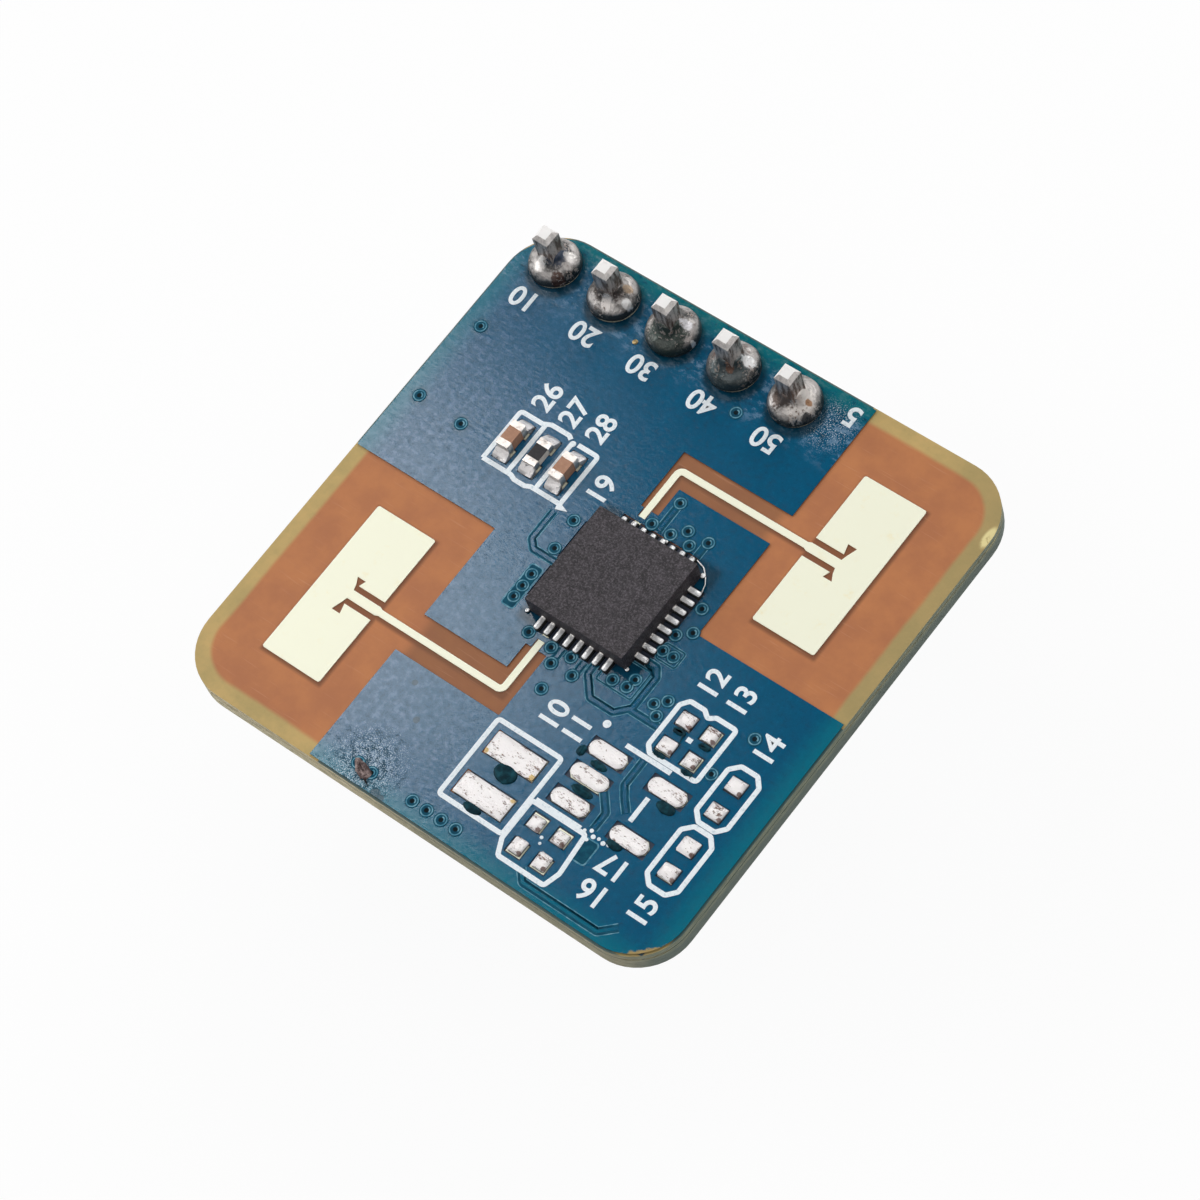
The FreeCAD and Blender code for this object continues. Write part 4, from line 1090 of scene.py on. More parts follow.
class Finishes:
    """Every finish on the board, built once."""

    def __init__(self) -> None:
        """Builds the materials."""
        self.mask = SolderMaskFinish().build()
        self.mask_back = SolderMaskFinish("solder_mask_back", pale="#27587a", marks=False).build()
        self.gap = GapFinish().build()
        # Near-black finish for the middle of each tented hole: painted shade of the hole.
        self.pit = GapFinish("via_pit", "#02090d", "#0a2530").build()
        self.ridge = GapFinish("mask_ridge", "#3f7d95", "#86b3c3").build()
        # Dark finish for the chip's lands: painted shade in the gaps between the solder beads.
        self.sunk = GapFinish("sunk_land", "#0d1f27", "#3d3a2c").build()
        self.flux = GapFinish("dark_flux", "#052731", "#184b57").build()
        self.laminate = LaminateFinish().build()
        self.copper = MetalFinish("bare_copper", "#c9825a", "#7d4a33").build()
        self.gold = MetalFinish(
            "immersion_gold", "#ffffe8", "#fbeebf", (0.55, 0.9), 1.6, 0.48, 0.08, 0.45, 0.006
        ).build()
        self.tin = MetalFinish("dull_gold", "#bfa878", "#857354").build()
        self.lead = MetalFinish("tinned_lead", "#f2eeea", "#9c7a5d", (0.55, 0.8), 5.0, 0.25).build()
        self.cap_metal = MetalFinish("end_cap_tin", "#efe7e0", "#8c8078", (0.5, 0.75), 4.0).build()
        self.lid = MetalFinish("crystal_lid", "#d8d6d0", "#aaa79f", (0.5, 0.8), 2.0).build()
        self.bead = SolderFinish(
            "lead_solder", "#ffffff", "#8b8686", "#8a6338", 5.0, 0.3, 0.3,
            metallic=0.35, slope_shade="#1d1714", slope_shade_share=0.95,
        ).build()
        # Brown marks at the lower right corner of the small lands' coats: painted shade.
        shaded_corners = ((x1 - 0.06, y0 + 0.10) for (_, x1, y0, _), _ in SpareLands.lands[7:])
        self.dome = SolderFinish(
            "land_solder", hollow="#978b8c", flux="#8a6a5c", scale=2.6, hollow_share=0.45,
            flux_share=0.12, stretch=(0.8, 1.8, 1.0), depth=0.13, slope_shade="#3d3838", slope_shade_share=0.8,
            spots=(
                (0.85, -6.70, 0.09, "#e2bd6a"), (2.72, -6.66, 0.09, "#e2bd6a"),
                (2.72, -7.62, 0.07, "#e2bd6a"), *((x, y, 0.07, "#6b4b42") for x, y in shaded_corners),
            ),
        ).build()
        self.fillet = SolderFinish("part_solder", hollow="#3c4148", scale=3.0).build()
        # Header joints: the white spots are painted highlights, the near-black spots beside pin 5
        # painted shade, the brown ones flux and the grey ones darker patches of solder.
        self.cone = SolderFinish(
            "header_solder", "#beb9b6", "#3a3b3b", "#63463a", 1.7, 0.95, 0.6,
            depth=0.12, metallic=0.7, slope_shade="#152a30", slope_shade_share=0.9,
            spots=(
                (-8.30, 8.75, 0.32, "#3f5068"), (-7.90, 9.00, 0.18, "#fffaf6"),
                (-8.60, 8.20, 0.18, "#fffaf6"), (-7.85, 8.15, 0.20, "#54392f"),
                (-5.95, 8.60, 0.44, "#4b423e"), (-5.20, 8.60, 0.14, "#ffffff"),
                (-5.70, 8.20, 0.20, "#fbf4ef"), (-5.45, 9.05, 0.14, "#b29a80"),
                (-3.28, 8.32, 0.62, "#36443f"), (-2.90, 8.95, 0.16, "#f2f0f4"),
                (-2.45, 8.65, 0.08, "#ffffff"), (-0.68, 8.25, 0.58, "#414f52"),
                (-0.62, 8.36, 0.12, "#7b5c4c"), (-0.30, 8.95, 0.18, "#ffffff"),
                (1.95, 8.60, 0.50, "#f6efe9"), (1.50, 8.48, 0.40, "#38200f"),
                (2.32, 8.75, 0.09, "#a4713f"), (2.55, 8.30, 0.16, "#0d2129"),
            ),
        ).build()
        self.pin = PinFinish().build()
        self.moulding = MouldedFinish(
            "moulding", "#171317", "#6a636a", 17.0, 0.75, 0.5, 0.02
        ).build()
        self.ceramic = MouldedFinish(
            "brown_ceramic", "#a77b62", "#c09479", 8.0, 0.5, 0.4, 0.01
        ).build()
        self.alumina = MouldedFinish(
            "white_alumina", "#d9d6cf", "#c4c0b8", 9.0, 0.4, 0.5, 0.01
        ).build()
        self.coat = MouldedFinish(
            "black_coat", "#1d1b1d", "#353236", 8.0, 0.5, 0.35, 0.012
        ).build()
        self.plastic = MouldedFinish(
            "black_insulator", "#17171a", "#2a2a2d", 7.0, 0.4, 0.5, 0.02
        ).build()
        self.burn = MouldedFinish("burnt_spot", "#3f2b29", "#b09b97", 5.0, 0.9, 0.5, 0.08).build()
        self.ink = InkFinish().build()


def dress(material: Material, *nodes: str) -> None:
    """Gives solids their finish."""
    for name in nodes:
        Bench.coat(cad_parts[name], material)


@dataclass
class Studio:
    """Camera, lamps, world and floor."""

    place: Triple = (0.061576, -0.045719, 0.122886)
    right: Triple = (0.77286, 0.60639, -0.18703)
    up: Triple = (-0.47686, 0.74944, 0.45929)
    back: Triple = (0.41867, -0.26578, 0.86838)
    lens: float = 128.377
    sensor: float = 36.0
    clip: Pair = (0.005, 20.0)
    world_level: float = 0.08
    floor_size: float = 3.0
    floor_gap: float = 1e-5
    floor_colour: Box = (0.92, 0.92, 0.92, 1.0)
    floor_rough: float = 0.9
    floor_glow: float = 0.93
    lamp_distance: float = 0.45
    lamps: tuple[tuple[str, Triple, float, float], ...] = (
        ("left", (-0.85, -0.22, 0.55), 0.30, 1.13),
        ("front", (0.20, -0.62, 0.76), 0.30, 0.41),
        ("right", (0.62, 0.28, 0.73), 0.28, 0.42),
        ("back", (-0.12, 0.86, 0.55), 0.28, 0.96),
        ("sheen", (-0.485, 0.214, 0.848), 0.067, 0.122),
    )

    def build(self) -> None:
        """Makes the whole studio."""
        self._camera()
        self._world()
        for lamp in self.lamps:
            self._lamp(*lamp)
        self._floor()
        bpy.context.scene.view_settings.view_transform = "Standard"

    def _camera(self) -> None:
        """Stands the camera where the photograph was taken from."""
        data = bpy.data.cameras.new("camera")
        data.lens, data.sensor_width = self.lens, self.sensor
        data.clip_start, data.clip_end = self.clip
        camera = bpy.data.objects.new("camera", data)
        bpy.context.scene.collection.objects.link(camera)
        turn = Matrix((self.right, self.up, self.back)).transposed().to_4x4()
        camera.matrix_world = Matrix.Translation(self.place) @ turn
        bpy.context.scene.camera = camera

    def _world(self) -> None:
        """Lights evenly from all round, and shows white to the camera."""
        world = bpy.data.worlds.new("studio")
        bpy.context.scene.world = world
        s = Nodes(world, "ShaderNodeOutputWorld")
        light, white = (
            s.node("ShaderNodeBackground", {}, {"Color": WHITE, "Strength": strength})
            for strength in (self.world_level, 1.0)
        )
        s.show(s.blend(s.camera_ray(), light, white))

    def _lamp(self, name: str, way: Triple, size: float, power: float) -> None:
        """Hangs a square soft lamp that faces the board.

        Args:
            name: Name of the lamp.
            way: Its direction from the board's middle.
            size: Side in metres.
            power: Power in watts.
        """
        data = bpy.data.lights.new(name, "AREA")
        data.shape, data.size, data.energy = "SQUARE", size, power
        lamp = bpy.data.objects.new(name, data)
        bpy.context.scene.collection.objects.link(lamp)
        lamp.location = BOARD.point(0, 0) + Vector(way).normalized() * self.lamp_distance
        lamp.rotation_mode = "QUATERNION"
        lamp.rotation_quaternion = (-Vector(way)).to_track_quat("-Z", "Y")

    def _floor(self) -> None:
        """Lays a white floor under the pins that keeps the board's shadow."""
        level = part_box("header_pin_3")[0].z - self.floor_gap
        bpy.ops.mesh.primitive_plane_add(size=self.floor_size, location=(0.0, 0.0, level))
        floor = bpy.context.object
        floor.name = "floor"
        s = Shader("white_floor")
        look = {"Base Color": self.floor_colour, "Roughness": self.floor_rough}
        Bench.coat(floor, s.finish(look))
        glow = s.node("ShaderNodeEmission", {}, {"Color": WHITE, "Strength": 1.0})
        s.show(s.blend(s.camera_ray() * self.floor_glow, s.surface, glow))


@dataclass
class BoardStack:
    """The pressed board: laminates, foils and masks."""

    def build(self, finishes: Finishes) -> None:
        """Gives every layer its finish.

        Args:
            finishes: The materials.
        """
        dress(finishes.laminate, "lower_laminate", "upper_laminate")
        dress(finishes.copper, "inner_ground_plane", "front_ground_copper", "back_ground_copper")
        dress(finishes.mask, "front_solder_mask")
        dress(finishes.mask_back, "back_solder_mask")
        dress(finishes.gold, "transmit_antenna", "receive_antenna", "header_barrels")
        dress(finishes.gold, *(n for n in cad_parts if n.endswith("lands")))
        # The chip's lands are painted dark: painted shade between the beads.
        dress(finishes.sunk, "radar_chip_lands")


@dataclass
class MaskRelief:
    """Traces and tented holes that show through the solder mask."""

    levels: Triple = (0.003, 0.006, 0.009)
    widths: Triple = (0.33, 0.27, 0.11)
    step: float = 0.0002
    bend: float = 0.12
    area_bend: float = 0.1
    rim_width: float = 0.10
    area_line: float = 0.05
    via_top: float = 0.0115
    via_radii: tuple[float, ...] = (0.25, 0.215, 0.175, 0.085)
    hole_corners: int = 12
    glint_by_hole: float = 1.25
    glint_turns: tuple[int, ...] = (-10, 12, 34, 56, 78, 100)
    glint_width: float = 0.045
    traces: tuple[tuple[Pair, ...], ...] = (
        ((-2.68, 1.28), (-2.68, 0.12), (-2.38, -0.17), (-1.45, -0.17)),
        ((0.70, 3.62), (0.70, 2.55)),
        ((1.94, -2.35), (1.94, -2.76), (2.53, -3.40), (3.47, -3.40), (3.91, -2.95),
         (3.91, -1.68), (3.68, -1.38), (3.30, -1.38)),
        ((3.91, -3.03), (5.0, -3.03)),
        ((5.35, -4.2), (5.35, -5.2), (5.62, -5.55), (6.0, -5.95)),
        ((4.95, -5.75), (5.45, -6.3), (5.45, -6.95)),
        ((4.35, -9.25), (4.7, -9.62), (7.7, -9.62), (8.2, -9.15)),
        ((1.60, -3.05), (1.60, -2.5)),
        ((0.70, -3.10), (0.70, -2.5)),
        ((2.35, 3.0), (2.35, 2.45)),
    )
    areas: tuple[tuple[Box, bool], ...] = (
        ((-2.07, -1.62, -2.25, -0.62), True), ((2.25, 3.68, -2.76, -1.62), False),
        ((3.42, 4.2, -1.12, -0.5), False), ((5.42, 5.95, -8.1, -7.3), True),
    )
    vias: tuple[Pair, ...] = (
        (-0.05, -9.38), (0.55, -9.38), (1.15, -9.38), (1.75, -9.38), (1.0, -4.0),
        (-0.62, -2.63), (0.35, -2.67), (1.12, -2.6), (0.7, -3.12), (1.55, -3.1),
        (2.75, -2.5), (3.3, -2.45), (3.38, -2.1), (-1.9, 1.37), (-1.8, 0.22),
        (-1.85, -0.93), (-1.85, -1.42), (-1.85, -1.88), (0.37, 2.65), (1.13, 2.67),
        (1.9, 2.67), (1.55, 3.07), (2.37, 3.08), (0.7, 3.75), (3.65, 1.07),
        (3.93, 0.23), (3.5, -0.13), (3.5, -0.8), (3.92, -0.8), (4.4, -2.45),
        (4.73, -2.13), (4.73, -2.75), (7.87, -1.68), (7.45, -3.4), (0.2, 7.42),
        (-9.3, 2.3), (-7.4, 2.2), (-9.2, 5.5), (-2.4, -9.3), (-1.8, -9.35),
    )

    def build(self, finishes: Finishes) -> None:
        """Makes the traces with their sunk margins, and the tented holes.

        Args:
            finishes: The materials.
        """
        ridges, gaps, traces, pits = [], [], [], []
        for i, points in enumerate(self.traces):
            line = Outline.rounded(points, self.bend, False)
            for tier, level, width in zip((ridges, gaps, traces), self.levels, self.widths):
                loops = Outline.ribbon(line, width, False)
                tier.append(Outline.raise_up(f"trace_{i}", loops, level + self.step * i))
        low, high, _ = self.levels
        for i, (box, filled) in enumerate(self.areas):
            ring = Outline.rounded(Outline.box(*box), self.area_bend, True)
            lift = self.step * (i + len(self.traces))
            rim = Outline.ribbon(ring, self.rim_width, True)
            ridges.append(Outline.raise_up(f"rim_{i}", rim, low + lift))
            inner = [ring] if filled else Outline.ribbon(ring, self.area_line, True)
            gaps.append(Outline.raise_up(f"area_{i}", inner, high + lift))
        for i, (group, loops) in enumerate(self._via_shapes(ridges, gaps, pits)):
            first = Outline.raise_up(f"via_{i}", loops, self.via_top + self.step * 2 * i)
            for j, (x, y) in enumerate(self.vias):
                move = Matrix.Translation(Vector((x, y, 0.0)) * MM)
                group.append(Bench.copy(first, f"via_{i}_{j}", move))
            bpy.data.objects.remove(first)
        Bench.finish("mask_ridges", ridges, finishes.ridge, "solder_mask")
        Bench.finish("mask_gaps", gaps, finishes.gap, "solder_mask")
        Bench.finish("mask_traces", traces, finishes.mask, "solder_mask")
        Bench.finish("via_holes", pits, finishes.pit, "solder_mask")

    def _via_shapes(
        self, ridges: list[Piece], gaps: list[Piece], pits: list[Piece]
    ) -> tuple[tuple[list[Piece], list[Loop]], ...]:
        """Gives the flat shapes of a tented hole, from the lowest to the highest.

        Args:
            ridges: Pieces in the pale finish.
            gaps: Pieces in the dark finish.
            pits: Pieces in the black finish.

        Returns:
            Each shape's list of pieces and its outlines.
        """
        # The black disc in each hole is painted shade; the pale crescent beside it, up and to the
        # right, is a painted highlight.
        rim, ring, bowl, hole = self.via_radii
        reach = hole * self.glint_by_hole
        turns = [math.radians(turn) for turn in self.glint_turns]
        glint = [(reach * math.cos(turn), reach * math.sin(turn)) for turn in turns]
        return (
            (gaps, [Outline.circle(0, 0, rim)]),
            (ridges, [Outline.circle(0, 0, ring)]),
            (gaps, [Outline.circle(0, 0, bowl)]),
            (pits, [Outline.circle(0, 0, hole, self.hole_corners)]),
            (ridges, Outline.ribbon(glint, self.glint_width, False)),
        )


@dataclass
class PrintedOutlines:
    """White printed frames, lines and plain numbers."""

    height: float = 0.015
    step: float = 0.0004
    corner_by_height: float = 1.3
    dot_by_height: float = 1.2
    line: float = 0.17
    bend: float = 0.13
    number_size: float = 1.05
    number_weight: float = 0.022
    frames: tuple[tuple[Pair, ...], ...] = (
        ((0.49, -5.59), (3.11, -5.59), (3.11, -8.69), (0.49, -8.69)),
        ((8.10, -2.67), (8.74, -2.67), (9.02, -2.98), (9.02, -4.62),
         (8.74, -4.93), (8.10, -4.93), (7.79, -4.62), (7.79, -2.98)),
        ((8.10, -5.12), (8.74, -5.12), (9.02, -5.43), (9.02, -7.17),
         (8.74, -7.48), (8.10, -7.48), (7.79, -7.17), (7.79, -5.43)),
        ((5.34, -1.74), (5.92, -1.74), (6.17, -1.93), (6.40, -1.76), (7.21, -1.76),
         (7.21, -3.89), (5.34, -3.89), (5.12, -3.66), (5.12, -2.02)),
        ((3.19, -7.24), (5.38, -7.24), (5.50, -8.75), (5.32, -9.33), (3.45, -9.33), (3.19, -8.78)),
    )
    lines: tuple[tuple[Pair, ...], ...] = (
        ((-5.96, 1.59), (-5.96, 3.66), (-5.05, 3.66), (-4.75, 3.79), (-4.0, 3.79), (-3.86, 3.70)),
        ((-3.52, 3.66), (-2.67, 3.66), (-2.67, 1.59)),
        ((-5.96, 1.59), (-4.75, 1.59), (-4.55, 1.5), (-4.1, 1.5), (-3.9, 1.59), (-2.67, 1.59)),
        ((-4.92, 1.59), (-4.92, 3.66)),
        ((-3.73, 1.59), (-3.73, 3.62)),
        ((4.55, -4.08), (6.35, -4.08)),
        ((6.27, -5.15), (6.27, -6.10)),
        ((3.28, -7.15), (5.1, -7.15)),
        ((6.05, -2.85), (6.25, -2.85)),
    )
    corner: tuple[Pair, ...] = ((-2.78, 1.68), (-2.28, 1.50), (-2.70, 1.36))
    dots: tuple[Triple, ...] = (
        (3.57, -3.83, 0.14), (-3.70, 3.60, 0.11), (5.25, -7.13, 0.06), (5.45, -7.02, 0.07),
        (5.62, -7.16, 0.08), (5.82, -7.12, 0.06), (6.02, -7.17, 0.08), (6.2, -7.13, 0.06),
        (4.25, -8.08, 0.06), (4.33, -8.27, 0.05), (5.45, -7.62, 0.05), (5.50, -7.35, 0.06),
    )
    numbers: tuple[tuple[str, float, float, float], ...] = (
        ("10", -8.60, 7.15, 180.0), ("20", -6.0, 7.15, 180.0), ("30", -3.55, 7.15, 180.0),
        ("40", -1.0, 7.15, 180.0), ("50", 1.65, 7.15, 180.0), ("26", -5.5, 4.56, 90.0),
        ("27", -4.35, 4.56, 90.0), ("28", -3.2, 4.56, 90.0), ("19", -1.8, 2.75, 90.0),
        ("10", 1.95, -4.5, 90.0), ("11", 2.9, -4.5, 90.0), ("12", 5.6, -0.85, 90.0),
        ("13", 6.75, -0.85, 90.0), ("14", 8.5, -1.75, 90.0), ("15", 8.5, -8.3, 90.0),
        ("16", 6.8, -8.65, 180.0), ("17", 6.8, -7.6, 180.0), ("5", 3.55, 9.35, 180.0),
    )

    def build(self, finishes: Finishes) -> None:
        """Makes the frames, lines and numbers.

        Args:
            finishes: The materials.
        """
        parts = []
        for i, corners in enumerate(self.frames):
            loops = Outline.ribbon(Outline.rounded(corners, self.bend, True), self.line, True)
            height = self.height - self.step * (i + 1)
            parts.append(Outline.raise_up(f"frame_{i}", loops, height))
        for i, points in enumerate(self.lines):
            loops = Outline.ribbon(Outline.rounded(points, self.bend, False), self.line, False)
            parts.append(Outline.raise_up(f"line_{i}", loops, self.height + self.step * i))
        height = self.height * self.corner_by_height
        parts.append(Outline.raise_up("corner", [list(self.corner)], height))
        for i, dot in enumerate(self.dots):
            height = self.height * self.dot_by_height
            parts.append(Outline.raise_up(f"dot_{i}", [Outline.circle(*dot)], height))
        Bench.finish("printed_frames", parts, finishes.ink)
        figures = [self._number(*number) for number in self.numbers]
        Bench.finish("printed_numbers", figures, finishes.ink)

    def _number(self, text: str, x: float, y: float, turn: float) -> Piece:
        """Prints a plain number.

        Args:
            text: The number.
            x: Its middle along the pin row in mm.
            y: Its middle towards the header in mm.
            turn: Turn in degrees.

        Returns:
            The number's mesh.
        """
        bpy.ops.object.text_add(location=(0.0, 0.0, 0.0))
        letters = bpy.context.object.data
        letters.body, letters.size = text, self.number_size * MM
        letters.align_x, letters.align_y = "CENTER", "CENTER"
        letters.extrude, letters.offset = self.height * MM / 2, self.number_weight * MM
        bpy.ops.object.convert(target="MESH")
        figure = bpy.context.object
        figure.location = BOARD.point(x, y, self.height / 2)
        figure.rotation_euler = (0.0, 0.0, math.radians(turn))
        return Bench.settle(figure, f"number_{text}")


@dataclass
class RadarChip:
    """The leadless radar chip and its solder."""

    middle: Pair = (0.925, 0.0)
    leads: int = 8
    pitch: float = 0.4
    reach: float = 2.20
    pulled: tuple[float, ...] = (0.0, -0.07, -0.14, 0.0)
    bead: Triple = (0.50, 0.21, 0.17)
    bead_round: float = 0.07
    bead_segments: int = 3
    bead_crown: Pair = (0.015, 0.02)
    crown_reach: float = 0.02
    swell: float = 0.06
    swell_by_side: float = 7.1
    swell_by_lead: float = 2.3
    thread: tuple[Pair, ...] = (
        (2.45, 2.38), (2.80, 2.28), (3.05, 2.05), (3.22, 1.80), (3.30, 1.50)
    )
    thread_bend: float = 0.1
    thread_size: Triple = (0.045, 0.05, 0.02)
    blobs: tuple[Triple, ...] = (
        (2.97, 2.02, 0.10), (2.95, -1.97, 0.08), (-1.12, -2.06, 0.08), (1.20, 2.36, 0.07)
    )
    blob_height: float = 0.09
    blob_soft: float = 0.04
    blob_corners: int = 12

    def build(self, finishes: Finishes) -> None:
        """Dresses the chip, and lays a solder bead at each lead and the stray solder.

        Args:
            finishes: The materials.
        """
        dress(finishes.moulding, "radar_chip_body", "controller_body")
        dress(finishes.lead, "radar_chip_terminals", "radar_chip_ground_pad")
        half = Vector((0.0, 0.0, self.bead[2] * MM / 2))
        foot = BOARD.point(self.middle[0] + self.reach, self.middle[1])
        foot.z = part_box("radar_chip_solder")[0].z
        first = self._bead(foot + half, half)
        centre = BOARD.point(*self.middle)
        beads = []
        for side, pulled in enumerate(self.pulled):
            for i in range(self.leads):
                step = (i - (self.leads - 1) / 2) * self.pitch
                phase = self.swell_by_side * side + self.swell_by_lead * i
                swell = 1.0 + self.swell * math.sin(phase)
                move = (
                    turned_about(centre, 90.0 * side)
                    @ Matrix.Translation((pulled * MM, step * MM, 0.0))
                    @ turned_about(foot, 0.0, (swell, 1.0, swell))
                )
                beads.append(Bench.copy(first, f"bead_{side}_{i}", move))
        bpy.data.objects.remove(first)
        Bench.finish(
            "chip_lead_solder", beads, finishes.bead, "solder", ["radar_chip_solder"], angle=60.0
        )
        width, height, soft = self.thread_size
        line = Outline.ribbon(Outline.rounded(self.thread, self.thread_bend, False), width, False)
        stray = [Outline.raise_up("thread", line, height, soft)]
        for i, blob in enumerate(self.blobs):
            ring = [Outline.circle(*blob, self.blob_corners)]
            stray.append(Outline.raise_up(f"blob_{i}", ring, self.blob_height, self.blob_soft))
        Bench.finish("stray_solder", stray, finishes.bead, "solder")

    def _bead(self, seat: Vector, half: Vector) -> Piece:
        """Makes one rounded bead of solder with a raised crown.

        Args:
            seat: Its middle in row-frame metres.
            half: The way from its middle to its top.

        Returns:
            The bead.
        """
        bead = Bench.cube("bead", self.bead, seat)
        with Bench.editing(
            bead, Side.EDGES, lambda spot, way: spot.z > seat.z or abs(way.z) > UPRIGHT
        ):
            Bench.round_off(self.bead_round, self.bead_segments)
        crown, reach = seat + half, self.crown_reach * MM
        with Bench.editing(bead, Side.FACES, lambda spot, way: (spot - crown).length < reach):
            Bench.inset(self.bead_crown)
        return bead


@dataclass
class SpareLands:
    """Lands with no part on them, each under its coat of solder."""

    wall: float = 0.055
    round_end: float = 0.2
    round_segments: int = 6
    square_segments: int = 2
    rough: float = 0.022
    large: float = 1.0
    crown: tuple[Pair, ...] = ((0.03, 0.02), (0.05, 0.02), (0.07, 0.012))
    small_crown: tuple[Pair, ...] = ((0.03, 0.03), (0.05, 0.03), (0.07, 0.02))
    lands: tuple[tuple[Box, float], ...] = (
        ((0.80, 2.78, -6.75, -5.92), 0.06), ((0.80, 2.78, -8.38, -7.55), 0.06),
        ((3.55, 4.97, -4.94, -4.37), 0.28), ((3.55, 4.97, -5.89, -5.32), 0.28),
        ((3.55, 4.97, -6.91, -6.34), 0.28), ((5.95, 7.37, -4.94, -4.37), 0.28),
        ((5.95, 7.37, -6.92, -6.35), 0.28),
        ((5.38, 5.97, -2.62, -2.10), 0.06), ((6.40, 6.90, -2.62, -2.10), 0.06),
        ((5.38, 5.97, -3.65, -3.15), 0.06), ((6.40, 6.90, -3.65, -3.15), 0.06),
        ((8.07, 8.70, -3.60, -3.05), 0.06), ((8.07, 8.70, -4.65, -4.10), 0.06),
        ((8.07, 8.70, -6.07, -5.50), 0.06), ((8.07, 8.70, -7.07, -6.55), 0.06),
        ((3.57, 4.07, -8.05, -7.55), 0.06), ((4.55, 5.05, -8.05, -7.55), 0.06),
        ((3.57, 4.07, -9.02, -8.45), 0.06), ((4.55, 5.05, -9.02, -8.45), 0.06),
    )
    pool_base: float = 0.002
    pool_corners: int = 18
    pool_rough: float = 0.03
    pool_height: float = 0.02
    pool_crown: tuple[Pair, ...] = ((0.05, 0.03), (0.04, 0.008))
    pools: tuple[Box, ...] = (
        (1.90, -6.98, 0.42, 0.34), (1.75, -8.52, 0.36, 0.16), (4.25, -5.13, 0.32, 0.14),
        (4.35, -6.12, 0.42, 0.17), (6.95, -5.12, 0.36, 0.20), (6.35, -7.02, 0.30, 0.16),
        (3.45, -5.0, 0.15, 0.2), (5.7, -2.78, 0.24, 0.12), (6.7, -2.78, 0.22, 0.12),
        (5.65, -3.78, 0.24, 0.1), (6.75, -3.80, 0.24, 0.1),
    )

    def build(self, finishes: Finishes) -> None:
        """Makes the coats and the flux beside them.

        Args:
            finishes: The materials.
        """
        base = BOARD.over(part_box("spare_solder")[0].z)
        coats = [self._coat(i, base, *land) for i, land in enumerate(self.lands)]
        Bench.finish(
            "spare_land_solder", coats, finishes.dome, "solder", ["spare_solder"], angle=50.0
        )
        pools = [self._pool(i, *pool) for i, pool in enumerate(self.pools)]
        Bench.finish("flux_pools", pools, finishes.flux, angle=60.0)

    def _coat(self, index: int, base: float, box: Box, rounding: float) -> Piece:
        """Makes one crowned coat of solder.

        Args:
            index: Which land it is.
            base: Height of the land's top over the solder mask in mm.
            box: The land's sides in mm.
            rounding: Corner radius in mm.

        Returns:
            The coat.
        """
        x0, x1, y0, y1 = box
        long, wide = x1 - x0, y1 - y0
        middle = BOARD.point((x0 + x1) / 2, (y0 + y1) / 2, base + self.wall / 2)
        coat = Bench.cube(f"coat_{index}", (long, wide, self.wall), middle)
        with Bench.editing(coat, Side.EDGES, lambda spot, way: abs(way.z) > UPRIGHT):
            rounded = rounding > self.round_end
            Bench.round_off(rounding, self.round_segments if rounded else self.square_segments)
        with Bench.editing(coat, Side.FACES, lambda spot, way: way.z > UPRIGHT):
            for inset, rise in self.crown if long > self.large else self.small_crown:
                Bench.lift(rise)
                across, along = long - 2 * inset, wide - 2 * inset
                Bench.resize(across / long, along / wide, middle)
                long, wide = across, along
        if rounding < self.round_end:
            with Bench.editing(coat, Side.EDGES, lambda spot, way: spot.z > middle.z):
                Bench.roughen(self.rough, index)
        return coat

    def _pool(self, index: int, x: float, y: float, half_x: float, half_y: float) -> Piece:
        """Makes one flat pool of dark flux.

        Args:
            index: Which pool it is.
            x: Its middle along the pin row in mm.
            y: Its middle towards the header in mm.
            half_x: Half its length in mm.
            half_y: Half its width in mm.

        Returns:
            The pool.
        """
        middle = BOARD.point(x, y, self.pool_base)
        pool = Bench.disc(f"pool_{index}", 1.0, middle, self.pool_corners)
        pool.data.transform(turned_about(middle, 0.0, (half_x, half_y, 1.0)))
        with Bench.editing(pool, Side.EDGES):
            Bench.roughen(self.pool_rough, index)
        with Bench.editing(pool, Side.FACES):
            Bench.lift(self.pool_height)
            Bench.inset(*self.pool_crown)
        return pool


